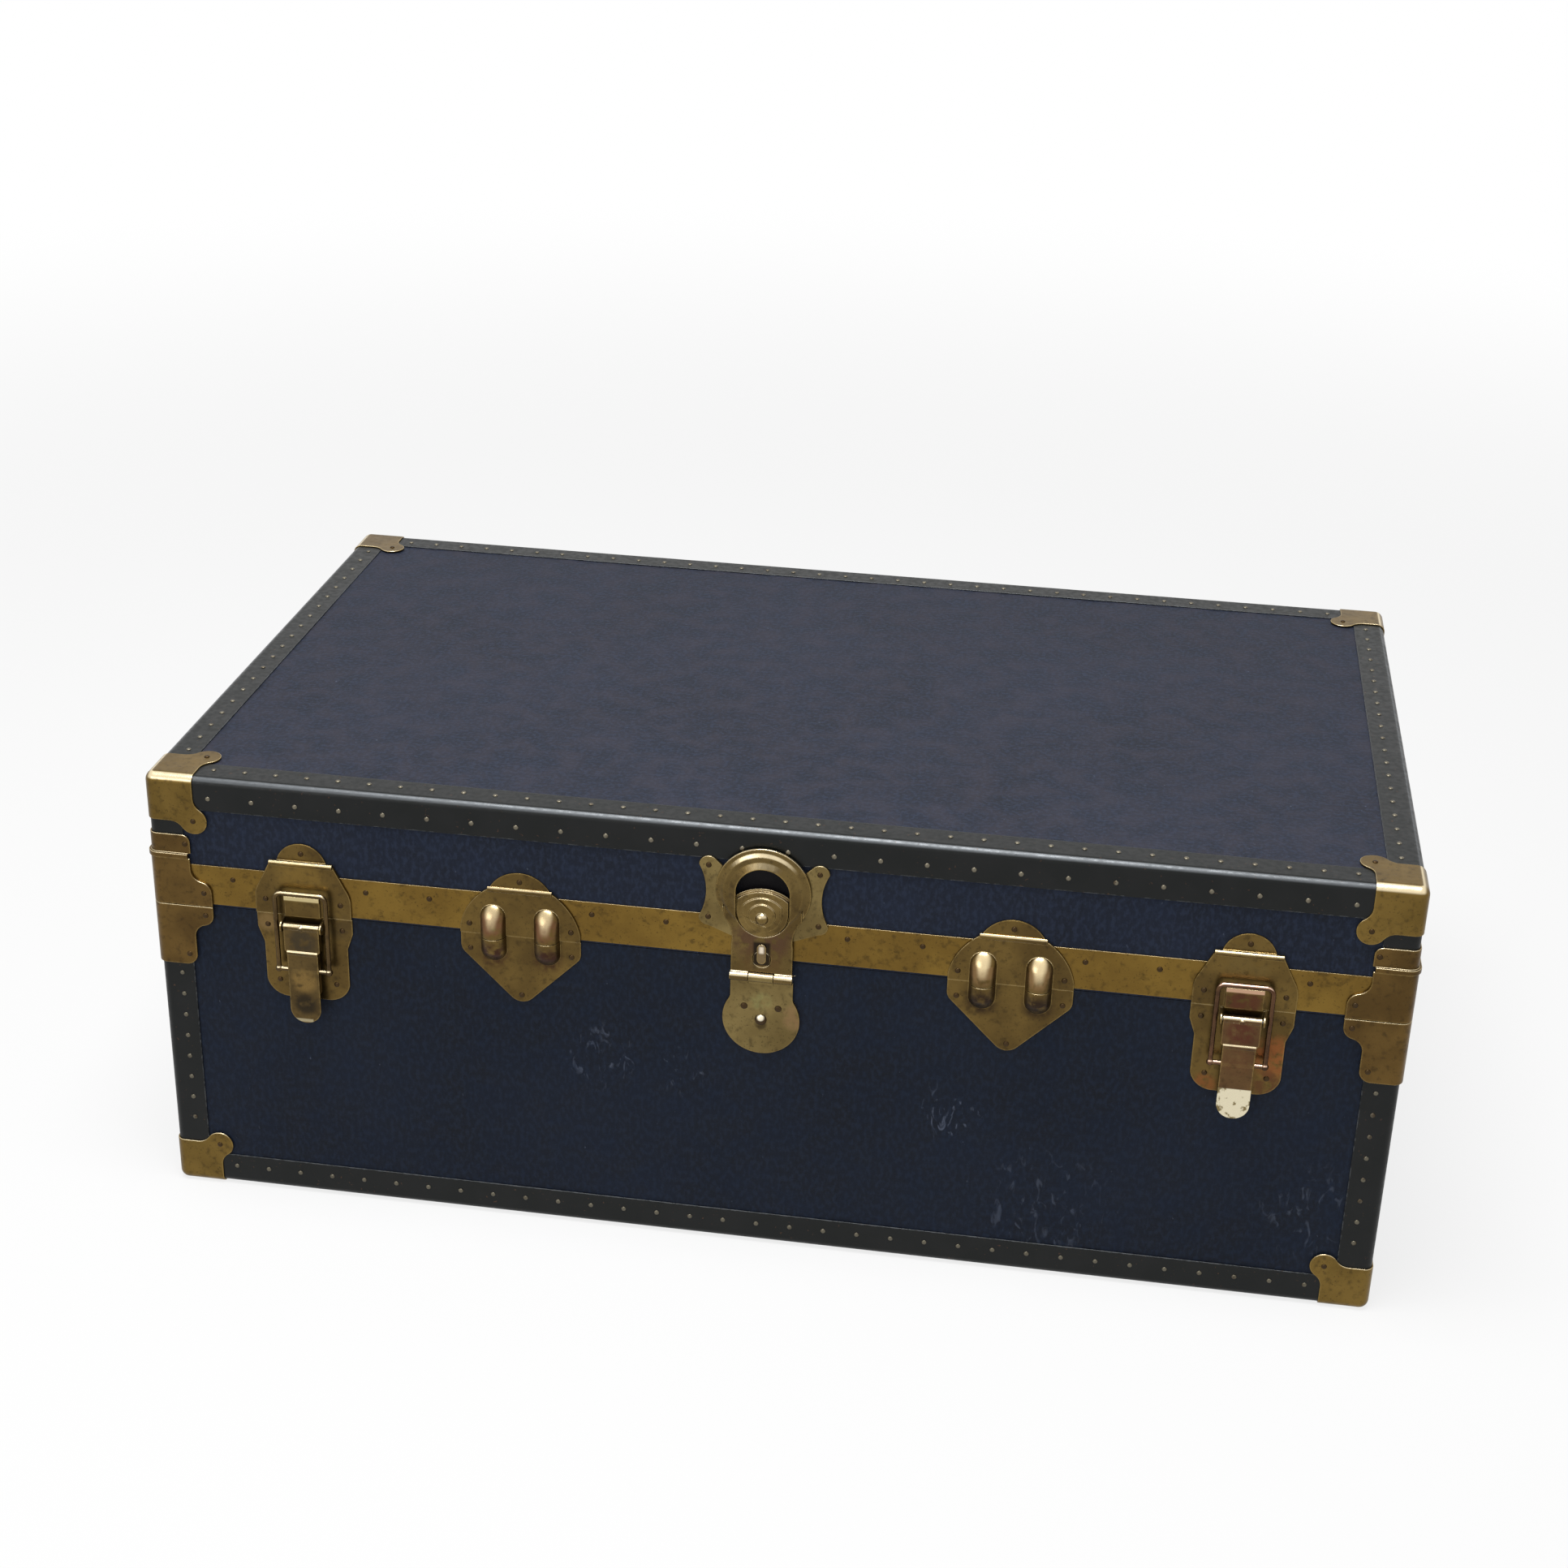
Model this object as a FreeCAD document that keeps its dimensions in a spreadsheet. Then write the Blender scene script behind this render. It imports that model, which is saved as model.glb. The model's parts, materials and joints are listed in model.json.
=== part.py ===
import FreeCAD, Part

# A cabin trunk of plywood, covered in fibre, bound in steel at its edges and fitted with brass.
# Millimetres. X runs along the length, the front faces -Y and Z is up. The origin lies on the
# ground, under the middle of the trunk. The lid is modelled shut and the levers pressed down.
import math
import os
from types import SimpleNamespace

import Sketcher

# The driving sizes. "rise" and "drop" are heights above and below the rim of the case, and
# "out" is how far something stands out from the face of the fibre covering.
SIZES = [
    ("trunk_length", 914, "over the covering, end to end"),
    ("trunk_depth", 533, "over the covering, front to back"),
    ("trunk_height", 352, "over the corner caps"),
    ("lid_height", 106, "from the rim of the case to the top of the corner caps"),
    ("seam_gap", 0.4, "between the two rims"),
    ("board", 7, "plywood"),
    ("covering", 1.6, "vulcanised fibre"),
    ("covering_inset", 6, "from each edge of the carcass to the fibre sheet"),
    ("lining", 0.8, "paper and cloth inside"),
    ("overrun", 1, "by which a cutting tool passes the face it cuts"),
    ("play", 0.15, "round a pin that turns"),
    ("side_play", 0.4, "beside a part that turns or slides"),
    ("tongue_rise", 8, "the tongue above the rim"),
    ("tongue_drop", 14, "the tongue below the rim"),
    ("tongue_sheet", 1.2, "the tongue's sheet steel above the rim"),
    ("binding_leg", 25, "each leg of an edge binding"),
    ("binding_sheet", 1, "the binding's sheet steel"),
    ("binding_radius", 6, "outside the bend of a binding"),
    ("binding_gap", 2, "between a binding's leg and the next binding's end"),
    ("cap_sheet", 1.2, "the corner cap's brass"),
    ("cap_leg", 37, "along each edge"),
    ("lobe_reach", 36, "to the middle of a cap's nailed lobe, from both edges"),
    ("lobe_radius", 10.5, "of that lobe"),
    ("scoop_radius", 11, "of the hollow curve beside a lobe"),
    ("clamp_sheet", 1.2, "the seam clamp's brass above its step"),
    ("clamp_swell", 2, "the same clamp below its step"),
    ("clamp_width", 32, "each wing of a seam clamp"),
    ("clamp_cap_gap", 11, "between the clamp's top and the corner cap above it"),
    ("clamp_step_drop", 15, "the step across the clamp, below its top"),
    ("clamp_drop", 50, "the clamp's foot"),
    ("clamp_bead", 1.2, "by which a bead stands out along that step"),
    ("clamp_bead_width", 4, "the bead's height"),
    ("clamp_lobe_reach", 38, "to the middle of its nailed lobe"),
    ("clamp_lobe_radius", 9, "of that lobe"),
    ("clamp_lobe_rise", 11.5, "the middle of the lid's lobe"),
    ("clamp_lobe_drop", 7, "the middle of the case's lobe"),
    ("clamp_scoop_radius", 10, "the hollow curve from lobe to waist"),
    ("clamp_corner_radius", 6, "the upper corner of a wing"),
    ("clamp_foot_radius", 9, "the lower corner of a wing"),
    ("strip_rise", 2, "the lower edge of the brass strip round the lid"),
    ("strip_width", 32, "of that strip"),
    ("strip_sheet", 1, "its thickness"),
    ("strip_end_gap", 1, "between the strip and a corner binding"),
    ("plate_sheet", 1.2, "the pressed plates"),
    ("plate_swell", 2.6, "out to the face of a plate that bridges the strip"),
    ("plate_bead", 2.1, "the radius of the bead along its step"),
    ("bolt_inset", 114, "a draw bolt from the end of the trunk"),
    ("bolt_half", 36.5, "half the bolt's plates at the seam"),
    ("bolt_side_rise", 12, "where the lid plate's straight side ends"),
    ("bolt_shoulder_half", 33, "half the lid plate at its shoulder"),
    ("bolt_shoulder_rise", 25, "that shoulder"),
    ("bolt_shoulder_radius", 22, "the curve below that shoulder"),
    ("step_half", 24, "half a plate's width at its step"),
    ("bolt_arch_half", 19, "half the nailed arch above that step"),
    ("bolt_step_rise", 43, "the step of the lid plate"),
    ("bolt_arch_rise", 59, "the top of the lid plate"),
    ("bolt_waist_half", 32, "half the case plate below its waist"),
    ("bolt_flare_drop", 12, "where the case plate starts to narrow"),
    ("bolt_waist_drop", 25, "that waist"),
    ("bolt_corner_drop", 56, "where the foot's corner starts"),
    ("bolt_foot_half", 16, "half the flat of the foot"),
    ("bolt_foot_drop", 70, "the foot of the case plate"),
    ("bolt_corner_radius", 17, "the foot's corners"),
    ("pivot_drop", 6, "the lever's pivot"),
    ("pivot_out", 8.5, "the pivots of lever and loop"),
    ("pivot_pin_radius", 1.3, "the lever's pin"),
    ("barrel_radius", 3, "the lever's barrel round the pin"),
    ("lug_radius", 4.5, "the ears that hold the pin"),
    ("lug_sheet", 1.5, "their thickness"),
    ("lever_half", 11.75, "half the lever"),
    ("lever_head_half", 13.5, "half the lever's head and the catch"),
    ("lever_out", 10.8, "the lever's face"),
    ("lever_depth", 5.3, "from that face to the edge of its folded sides"),
    ("lever_sheet", 1.3, "the lever's sheet"),
    ("lever_neck_drop", 25, "where the head starts to narrow"),
    ("lever_rib_drop", 27, "the rib across the lever"),
    ("lever_rib_radius", 2, "of that rib"),
    ("lever_rivet_radius", 2.1, "the round rivet head on the barrel"),
    ("lever_foot_drop", 61, "where the lever thins to its thumb tab"),
    ("tab_drop", 86, "the end of the thumb tab"),
    ("loop_pin_drop", 42, "the loop's pivot on the lever"),
    ("loop_rise", 21.25, "the loop's top bar"),
    ("loop_half", 19.25, "half the loop, to the middle of its wire"),
    ("loop_wire", 1.75, "the radius of that wire"),
    ("loop_bend", 5, "the bend of the wire at the loop's top corners"),
    ("loop_ball", 2.7, "the balls at the loop's feet"),
    ("loop_grip", 3.5, "how deep the loop's pins sit in the lever"),
    ("catch_out", 5, "the face of the catch"),
    ("catch_lip_out", 6.3, "the lip of the catch, just behind the loop"),
    ("catch_rise", 17.5, "the top of the catch"),
    ("catch_lip", 4, "the height of its lip"),
    ("dowel_spacing", 164, "a dowel plate from the draw bolt beside it"),
    ("dowel_half", 45, "half the dowel plate at the seam"),
    ("dowel_side_rise", 6, "where the lid plate's straight side ends"),
    ("dowel_shoulder_radius", 48, "its shoulder"),
    ("dowel_step_rise", 37.5, "the step of the lid plate"),
    ("dowel_arch_half", 23, "half the nailed arch above that step"),
    ("dowel_arch_rise", 52, "the top of the lid plate"),
    ("dowel_side_drop", 14, "where the case plate starts to taper"),
    ("dowel_corner", 4, "that corner's rounding along each side"),
    ("dowel_corner_radius", 9.7, "the radius of that rounding"),
    ("dowel_point_half", 8, "half the rounded point"),
    ("dowel_point_drop", 51, "where the rounded point starts"),
    ("dowel_foot_drop", 54.5, "the foot of the case plate"),
    ("dowel_point_radius", 12, "the rounded point"),
    ("dome_place", 20, "each dome from the middle of its plate"),
    ("dome_radius", 9.5, "the domes over pin and socket"),
    ("dome_out", 2, "the middle line of a dome"),
    ("dome_rise", 25, "the top of the lid's dome"),
    ("dome_drop", 21, "the foot of the case's dome"),
    ("dowel_pin_radius", 4, "the dowel pin"),
    ("dowel_pin_out", 5.3, "its middle line"),
    ("dowel_pin_grip", 12, "its length inside the lid's dome"),
    ("dowel_pin_drop", 13, "its length below the rim"),
    ("dowel_pin_nose", 2, "the taper of its tip"),
    ("socket_drop", 15, "the depth of its socket"),
    ("hasp_pivot_drop", 11.4, "the hasp's hinge"),
    ("hasp_pivot_out", 6, "that hinge from the covering"),
    ("hasp_barrel_radius", 3.5, "its barrel"),
    ("hasp_pin_radius", 1.6, "its pin"),
    ("hasp_half", 23, "half the hinge's length"),
    ("hasp_knuckle_half", 9, "half the middle knuckle"),
    ("hasp_back_out", 3, "the back of the hasp"),
    ("hasp_face_out", 5.6, "the face of its neck"),
    ("hasp_neck_half", 22.5, "half that neck"),
    ("hasp_neck_rise", 14, "where the neck starts to widen"),
    ("hasp_shoulder_half", 28.6, "half its shoulders"),
    ("hasp_shoulder_rise", 36, "the shoulders"),
    ("hasp_sweep_radius", 26, "the hollow curve from neck to shoulder"),
    ("ring_rise", 57, "the middle of the hasp's ring"),
    ("ring_radius", 34.5, "outside the ring"),
    ("ring_rim_out", 5, "its outer rim"),
    ("ring_rim_radius", 31.5, "inside that rim"),
    ("ring_ridge_radius", 28.5, "its ridge"),
    ("ring_ridge_out", 7, "the top of that ridge"),
    ("ring_dish_radius", 25, "the dish inside the ridge"),
    ("ring_dish_out", 6, "the floor of that dish"),
    ("ring_lip_out", 8.4, "the lip round the finger hole"),
    ("ring_hole_radius", 19.5, "the finger hole"),
    ("slide_half", 18.5, "half the slide's width"),
    ("slide_crest_rise", 58, "the top of the slide at rest"),
    ("slide_shoulder_rise", 51, "its shoulders"),
    ("slide_side_rise", 40, "where its sides start to close"),
    ("slide_foot_rise", 22, "its lowest point"),
    ("slide_side_radius", 19, "the curve down to that point"),
    ("slide_flange", 1.6, "by which its back flange is wider"),
    ("slide_flange_sheet", 1, "that flange"),
    ("slide_out", 6.4, "the face of its widest step"),
    ("slide_step", 4.4, "by which each step is smaller than the last"),
    ("slide_step_out", 1.3, "the height of each further step"),
    ("slide_boss_radius", 5, "the round boss in its middle"),
    ("slide_boss_rise", 38, "that boss"),
    ("staple_radius", 21, "the opening in the lid's plate behind the ring"),
    ("cover_rise", 12.5, "the pivot of the keyhole cover"),
    ("cover_half", 3.4, "half that cover"),
    ("cover_length", 9, "from its pivot to the middle of its foot"),
    ("cover_sheet", 1.1, "its thickness"),
    ("cover_pin_radius", 1.2, "its pivot"),
    ("cylinder_rise", 3.5, "the middle of the lock cylinder"),
    ("cylinder_radius", 6.5, "the lock cylinder"),
    ("keyway_half", 0.9, "half the keyway's width"),
    ("keyway_length", 7, "the keyway's height"),
    ("ear_place", 40, "an ear of the lock's lid plate from the middle"),
    ("ear_radius", 7, "of those ears"),
    ("ear_low_rise", 32.5, "the lower ears"),
    ("ear_binding_gap", 4.8, "from the middle of the upper ears to the top binding"),
    ("ear_sweep_radius", 44, "the hollow side between the ears"),
    ("lock_plate_out", 2.4, "the face of the lock's lid plate"),
    ("lock_base_radius", 28.5, "the round plate under the hasp"),
    ("lock_base_scoop", 8, "the hollow curve up to its neck"),
    ("lock_base_drop", 48.5, "the middle of that plate"),
    ("lock_base_out", 2.4, "its face"),
    ("lock_base_top_drop", 16.2, "its straight top"),
    ("hinge_inset", 157, "an outer hinge from the end of the trunk"),
    ("hinge_out", 5, "the hinge's axis behind the covering"),
    ("hinge_radius", 3.5, "the hinge's barrel"),
    ("hinge_pin_radius", 1.75, "its pin"),
    ("hinge_half", 25, "half the hinge's length"),
    ("hinge_knuckle_half", 9, "half the lid's knuckle"),
    ("hinge_sheet", 1.5, "the hinge's leaves"),
    ("hinge_clear", 4.6, "from the axis to the edge of a leaf"),
    ("hinge_leaf", 30, "from the axis to the end of a leaf"),
    ("handle_pivot_drop", 68, "the handle's pivots below the rim"),
    ("handle_out", 12, "those pivots from the covering"),
    ("handle_spread", 70, "each pivot from the middle of the end"),
    ("handle_eye_half", 7, "half an eye's length"),
    ("handle_eye_radius", 5.5, "of an eye"),
    ("handle_wire", 3, "the radius of the bail's wire"),
    ("handle_ball", 4.2, "the upset ends of the bail"),
    ("handle_drop", 46, "the bail's bar below its pivots"),
    ("handle_bend", 12, "the bends of the bail"),
    ("handle_plate_half", 16, "half a handle plate's width"),
    ("handle_plate_rise", 22, "the plate above the pivot"),
    ("handle_plate_drop", 30, "the plate below the pivot"),
    ("handle_plate_corner", 6, "the corners of that plate"),
    ("handle_plate_sheet", 1.5, "its thickness"),
    ("grip_half", 43, "half the leather grip"),
    ("grip_radius", 10, "the grip at its middle"),
    ("grip_end_radius", 6.5, "the grip at its ends"),
    ("tack_radius", 2, "the tacks of the bindings"),
    ("tack_head", 1, "the height of a tack's head"),
    ("tack_inset", 15, "a row of tacks from its edge"),
    ("tack_margin", 9, "from a cap or clamp to the first tack"),
    ("tack_pitch_top", 23, "along the top face"),
    ("tack_pitch_lid", 32, "along the lid's sides, below the top"),
    ("tack_pitch_foot", 25, "along the foot of the case"),
    ("tack_pitch_corner", 17, "up the corners"),
    ("nail_radius", 2.2, "the nails of the brass fittings"),
    ("nail_head", 1.1, "the height of a nail's head"),
    ("strip_nail_rise", 24, "the nails of the brass strip"),
    ("strip_nail_pitch", 54, "between those nails"),
    ("rivet_radius", 2.8, "the rivets of the lock's base plate"),
    ("boss_radius", 4.6, "the round boss below them"),
    ("boss_head", 2.4, "the height of that boss"),
]

# The nails of the brass strip, as shares of each bay between two fittings, from the end inwards.
NAIL_SHARES = {
    "left": ((0.443,), (0.139, 0.721), (0.095, 0.724)),
    "right": ((0.764,), (0.290, 0.922), (0.218, 0.839)),
}

FRONT = FreeCAD.Vector(0, -1, 0)
BACK = FreeCAD.Vector(0, 1, 0)
LEFT = FreeCAD.Vector(-1, 0, 0)
RIGHT = FreeCAD.Vector(1, 0, 0)
UP = FreeCAD.Vector(0, 0, 1)
SIDES = (("left", -1), ("right", 1))
SUBPARTS = []


class Size:
    """A length that knows its value now and the sum of cells that gives it."""

    def __init__(self, number, text):
        self.number = number
        self.text = text

    def __add__(self, other):
        other = as_size(other)
        return Size(self.number + other.number, f"({self.text} + {other.text})")

    def __radd__(self, other):
        return as_size(other) + self

    def __sub__(self, other):
        other = as_size(other)
        return Size(self.number - other.number, f"({self.text} - {other.text})")

    def __rsub__(self, other):
        return as_size(other) - self

    def __mul__(self, other):
        other = as_size(other)
        return Size(self.number * other.number, f"({self.text} * {other.text})")

    def __rmul__(self, other):
        return self * other

    def __truediv__(self, other):
        other = as_size(other)
        return Size(self.number / other.number, f"({self.text} / {other.text})")

    def __neg__(self):
        return Size(-self.number, f"(-1 * {self.text})")

    def __float__(self):
        return float(self.number)


def as_size(value):
    return value if isinstance(value, Size) else Size(value, str(value))


def root(value):
    return Size(math.sqrt(float(value)), f"sqrt({value.text})")


def vector(x, y, z=0):
    return FreeCAD.Vector(float(x), float(y), float(z))


doc = FreeCAD.newDocument("CabinTrunk")
sheet = doc.addObject("Spreadsheet::Sheet", "Sizes")
for row, (alias, value, meaning) in enumerate(SIZES, start=1):
    sheet.set(f"A{row}", alias)
    sheet.set(f"B{row}", str(value))
    sheet.set(f"C{row}", meaning)
    sheet.setAlias(f"B{row}", alias)
doc.recompute()
s = SimpleNamespace(**{alias: Size(sheet.get(alias), f"Sizes.{alias}") for alias, _, _ in SIZES})

# Planes and levels that many pieces share.
end = s.trunk_length / 2
side = s.trunk_depth / 2
foot = s.cap_sheet + s.binding_sheet
crown = s.trunk_height - foot
rim = s.trunk_height - s.lid_height
lid_rim = rim + s.seam_gap
wall = s.covering + s.board
binding_stop = s.binding_leg + s.binding_gap
clamp_top = s.trunk_height - s.cap_leg - s.clamp_cap_gap
high_ear = crown - s.binding_leg - s.ear_binding_gap
handle_axis = rim - s.handle_pivot_drop
bolt_place = end - s.bolt_inset
dowel_place = bolt_place - s.dowel_spacing
hinge_place = end - s.hinge_inset


def rise(height):
    """A height above the rim of the case."""
    return rim + height


def drop(depth):
    """A depth below the rim of the case."""
    return rim - depth


def front(out):
    """The plane that lies so far in front of the covering."""
    return -side - out


def back(out):
    """The plane that lies so far behind the covering at the back."""
    return side + out


# Document objects whose sizes and places are bound to the sheet.


def place(item, x, y, z, turn=None):
    item.Placement = FreeCAD.Placement(vector(x, y, z), turn or FreeCAD.Rotation())
    for axis, value in zip("xyz", (x, y, z)):
        item.setExpression(f"Placement.Base.{axis}", as_size(value).text)
    return item


def box(name, x, y, z):
    """A block that fills a range along each axis."""
    block = doc.addObject("Part::Box", name)
    for edge, (low, high) in zip(("Length", "Width", "Height"), (x, y, z)):
        block.setExpression(edge, as_size(high - low).text)
    return place(block, x[0], y[0], z[0])


def cylinder(name, radius, length, at, along=UP):
    rod = doc.addObject("Part::Cylinder", name)
    rod.setExpression("Radius", radius.text)
    rod.setExpression("Height", length.text)
    return place(rod, *at, FreeCAD.Rotation(UP, along))


def sphere(name, radius, at):
    ball = doc.addObject("Part::Sphere", name)
    ball.setExpression("Radius", radius.text)
    return place(ball, *at)


def cone(name, low_radius, high_radius, length, at):
    taper = doc.addObject("Part::Cone", name)
    taper.setExpression("Radius1", low_radius.text)
    taper.setExpression("Radius2", high_radius.text)
    taper.setExpression("Height", length.text)
    return place(taper, *at)


def bend(name, bend_radius, wire_radius, at, turn):
    """A quarter turn of round wire."""
    quarter = doc.addObject("Part::Torus", name)
    quarter.setExpression("Radius1", bend_radius.text)
    quarter.setExpression("Radius2", wire_radius.text)
    quarter.Angle3 = 90
    return place(quarter, *at, turn)


def fuse(name, pieces):
    whole = doc.addObject("Part::MultiFuse", name)
    whole.Shapes = pieces
    whole.Refine = True
    return whole


def cut(name, base, tools):
    left = doc.addObject("Part::Cut", name)
    left.Base = base
    left.Tool = tools[0] if len(tools) == 1 else fuse(name + "_tools", tools)
    return left


def group(name, pieces):
    """Separate solids that share one node."""
    kept = doc.addObject("Part::Compound", name)
    kept.Links = pieces
    return kept


def node(label, item):
    """Name a finished sub-part. Its label names its file."""
    item.Label = label
    SUBPARTS.append(item)
    return item


# Outlines. Each is a list of points (across, up). A point that carries a radius is reached by
# an arc, which turns left where the radius is positive and right where it is negative.


def segments(outline):
    """The start, end and radius of each side, with the outline closed."""
    points = [(as_size(p[0]), as_size(p[1]), p[2] if len(p) > 2 else None) for p in outline]
    first, last = points[0], points[-1]
    if vector(first[0], first[1]).distanceToPoint(vector(last[0], last[1])) > 0:
        points.append((first[0], first[1], None))
    for start, finish in zip(points, points[1:]):
        yield start, finish, finish[2]


def arc_centre(start, finish, radius):
    """The middle of the arc of under half a turn between two points."""
    half = (finish - start) * 0.5
    reach = math.sqrt(max(float(radius) ** 2 - half.Length ** 2, 0))
    across = vector(-half.y, half.x).normalize()
    return start + half + across * math.copysign(reach, float(radius))


def both_sides(half):
    """A whole outline from its right half, which runs from the foot to the top."""
    whole = list(half)
    if float(half[-1][0]) > 0:
        whole.append((-half[-1][0], half[-1][1]))
    for reached, before in zip(half[:0:-1], half[-2::-1]):
        whole.append((-before[0], before[1], *reached[2:]))
    return whole


def draw(sketch, outline):
    """Fill a sketch with an outline, each point of it bound to the sheet."""
    shapes, starts, ends, bound = [], [], [], []
    for start, finish, radius in segments(outline):
        begin, stop = vector(start[0], start[1]), vector(finish[0], finish[1])
        turns_left = radius is None or float(radius) > 0
        if radius is None:
            shapes.append(Part.LineSegment(begin, stop))
        else:
            middle = arc_centre(begin, stop, radius)
            circle = Part.Circle(middle, UP, abs(float(radius)))
            low, high = (begin, stop) if turns_left else (stop, begin)
            angles = [math.atan2(p.y - middle.y, p.x - middle.x) for p in (low, high)]
            shapes.append(Part.ArcOfCircle(circle, *angles))
        starts.append(1 if turns_left else 2)
        ends.append(2 if turns_left else 1)
        bound.append((start, radius))
    sketch.addGeometry(shapes, False)
    rules, sums = [], []
    for i, (start, radius) in enumerate(bound):
        following = (i + 1) % len(shapes)
        rules.append(Sketcher.Constraint("Coincident", i, ends[i], following, starts[following]))
        sums.append(None)
        for kind, value in zip(("DistanceX", "DistanceY"), start):
            rules.append(Sketcher.Constraint(kind, -1, 1, i, starts[i], float(value)))
            sums.append(value.text)
        if radius is not None:
            length = radius if float(radius) > 0 else -radius
            rules.append(Sketcher.Constraint("Radius", i, float(length)))
            sums.append(length.text)
    sketch.addConstraint(rules)
    for i, text in enumerate(sums):
        if text:
            sketch.setExpression(f"Constraints[{i}]", text)


def prism(name, outline, depth, at, plane="XZ_Plane", backwards=False, turn=None):
    """A body padded from a sketch. On XZ_Plane it grows towards the front."""
    body = doc.addObject("PartDesign::Body", name)
    sketch = body.newObject("Sketcher::SketchObject", name + "_outline")
    sketch.AttachmentSupport = [(p, "") for p in body.Origin.OriginFeatures if p.Role == plane]
    sketch.MapMode = "FlatFace"
    draw(sketch, outline)
    pad = body.newObject("PartDesign::Pad", name + "_pad")
    pad.Profile = sketch
    pad.Reversed = backwards
    pad.setExpression("Length", as_size(depth).text)
    return place(body, *at, turn)


def lathe(name, outline, at, turn=None):
    """A body revolved round its own vertical axis from an outline beside that axis."""
    body = doc.addObject("PartDesign::Body", name)
    sketch = body.newObject("Sketcher::SketchObject", name + "_outline")
    planes = [p for p in body.Origin.OriginFeatures if p.Role == "XZ_Plane"]
    sketch.AttachmentSupport = [(planes[0], "")]
    sketch.MapMode = "FlatFace"
    draw(sketch, outline)
    turned = body.newObject("PartDesign::Revolution", name + "_turn")
    turned.Profile = sketch
    turned.ReferenceAxis = (sketch, ["V_Axis"])
    turned.Angle = 360
    return place(body, *at, turn)


# Shapes that primitives don't suit: pressed corners, and the heads of tacks and nails.


def flat(outline, direction, offset=0):
    """A face in the plane square to one axis, from an outline in the other two."""
    def lift(point):
        across, up = float(point[0]), float(point[1])
        if direction is UP:
            return FreeCAD.Vector(across, up, float(offset))
        if direction is RIGHT:
            return FreeCAD.Vector(float(offset), across, up)
        return FreeCAD.Vector(across, float(offset), up)

    edges = []
    for start, finish, radius in segments(outline):
        if radius is None:
            edges.append(Part.makeLine(lift(start), lift(finish)))
            continue
        begin, stop = vector(start[0], start[1]), vector(finish[0], finish[1])
        middle = arc_centre(begin, stop, radius)
        crest = (begin + stop) * 0.5 - middle
        crest = middle + crest.normalize() * abs(float(radius))
        edges.append(Part.Arc(lift(start), lift(crest), lift(finish)).toShape())
    return Part.Face(Part.Wire(edges))


def pressed(name, shape):
    item = doc.addObject("Part::Feature", name)
    item.Shape = shape
    return item


def every_corner(shape):
    """Copies of a shape at the corners of the trunk, mirrored from the one at right, front."""
    copies = []
    for _, x in SIDES:
        for _, y in SIDES:
            copy = shape.copy()
            if x < 0:
                copy = copy.mirror(FreeCAD.Vector(), RIGHT)
            if y > 0:
                copy = copy.mirror(FreeCAD.Vector(), BACK)
            copies.append(copy)
    return Part.Compound(copies)


def head(radius, height, direction):
    """The domed head of a nail, standing on the origin."""
    radius, height = float(radius), float(height)
    round_radius = (radius ** 2 + height ** 2) / (2 * height)
    below = round_radius - height
    start = math.degrees(math.asin(below / round_radius))
    return Part.makeSphere(round_radius, direction * -below, direction, start, 90, 360)


def even_row(length, pitch):
    """Places along a row, about a pitch apart, from its middle."""
    count = max(int(float(length) / float(pitch)), 1)
    step = float(length) / count
    return [step * i - float(length) / 2 for i in range(count + 1)]


def carcass_boards(body, low, high, floor_low, floor_name):
    """Four walls and the board that closes them, for the case or the lid."""
    across, through = end - s.covering, side - s.covering
    node(f"{body}_front_board", box(f"{body}_front", (-across, across),
                                    (-through, -through + s.board), (low, high)))
    node(f"{body}_back_board", box(f"{body}_back", (-across, across),
                                   (through - s.board, through), (low, high)))
    node(f"{body}_left_board", box(f"{body}_left", (-across, -across + s.board),
                                   (-through + s.board, through - s.board), (low, high)))
    node(f"{body}_right_board", box(f"{body}_right", (across - s.board, across),
                                    (-through + s.board, through - s.board), (low, high)))
    node(f"{body}_{floor_name}_board", box(f"{body}_{floor_name}",
                                           (-across + s.board, across - s.board),
                                           (-through + s.board, through - s.board),
                                           (floor_low, floor_low + s.board)))


def covering_sheets(body, low, high, flat_low):
    """Five sheets of fibre, let in behind the bindings at their edges."""
    across, through = end - s.covering_inset, side - s.covering_inset
    sheets = [
        box(f"{body}_fibre_front", (-across, across), (-side, -side + s.covering), (low, high)),
        box(f"{body}_fibre_back", (-across, across), (side - s.covering, side), (low, high)),
        box(f"{body}_fibre_left", (-end, -end + s.covering), (-through, through), (low, high)),
        box(f"{body}_fibre_right", (end - s.covering, end), (-through, through), (low, high)),
        box(f"{body}_fibre_flat", (-across, across), (-through, through),
            (flat_low, flat_low + s.covering)),
    ]
    node(f"{body}_fibre_cover", group(f"{body}_fibre", sheets))


def lining_sheets(body, low, high, flat_low):
    """Five sheets of lining inside the boards."""
    across, through = end - wall, side - wall
    inner_across, inner_through = across - s.lining, through - s.lining
    sheets = [
        box(f"{body}_lining_front", (-across, across), (-through, -inner_through), (low, high)),
        box(f"{body}_lining_back", (-across, across), (inner_through, through), (low, high)),
        box(f"{body}_lining_left", (-across, -inner_across), (-inner_through, inner_through),
            (low, high)),
        box(f"{body}_lining_right", (inner_across, across), (-inner_through, inner_through),
            (low, high)),
        box(f"{body}_lining_flat", (-across, across), (-through, through),
            (flat_low, flat_low + s.lining)),
    ]
    node(f"{body}_lining", group(f"{body}_paper", sheets))


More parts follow.
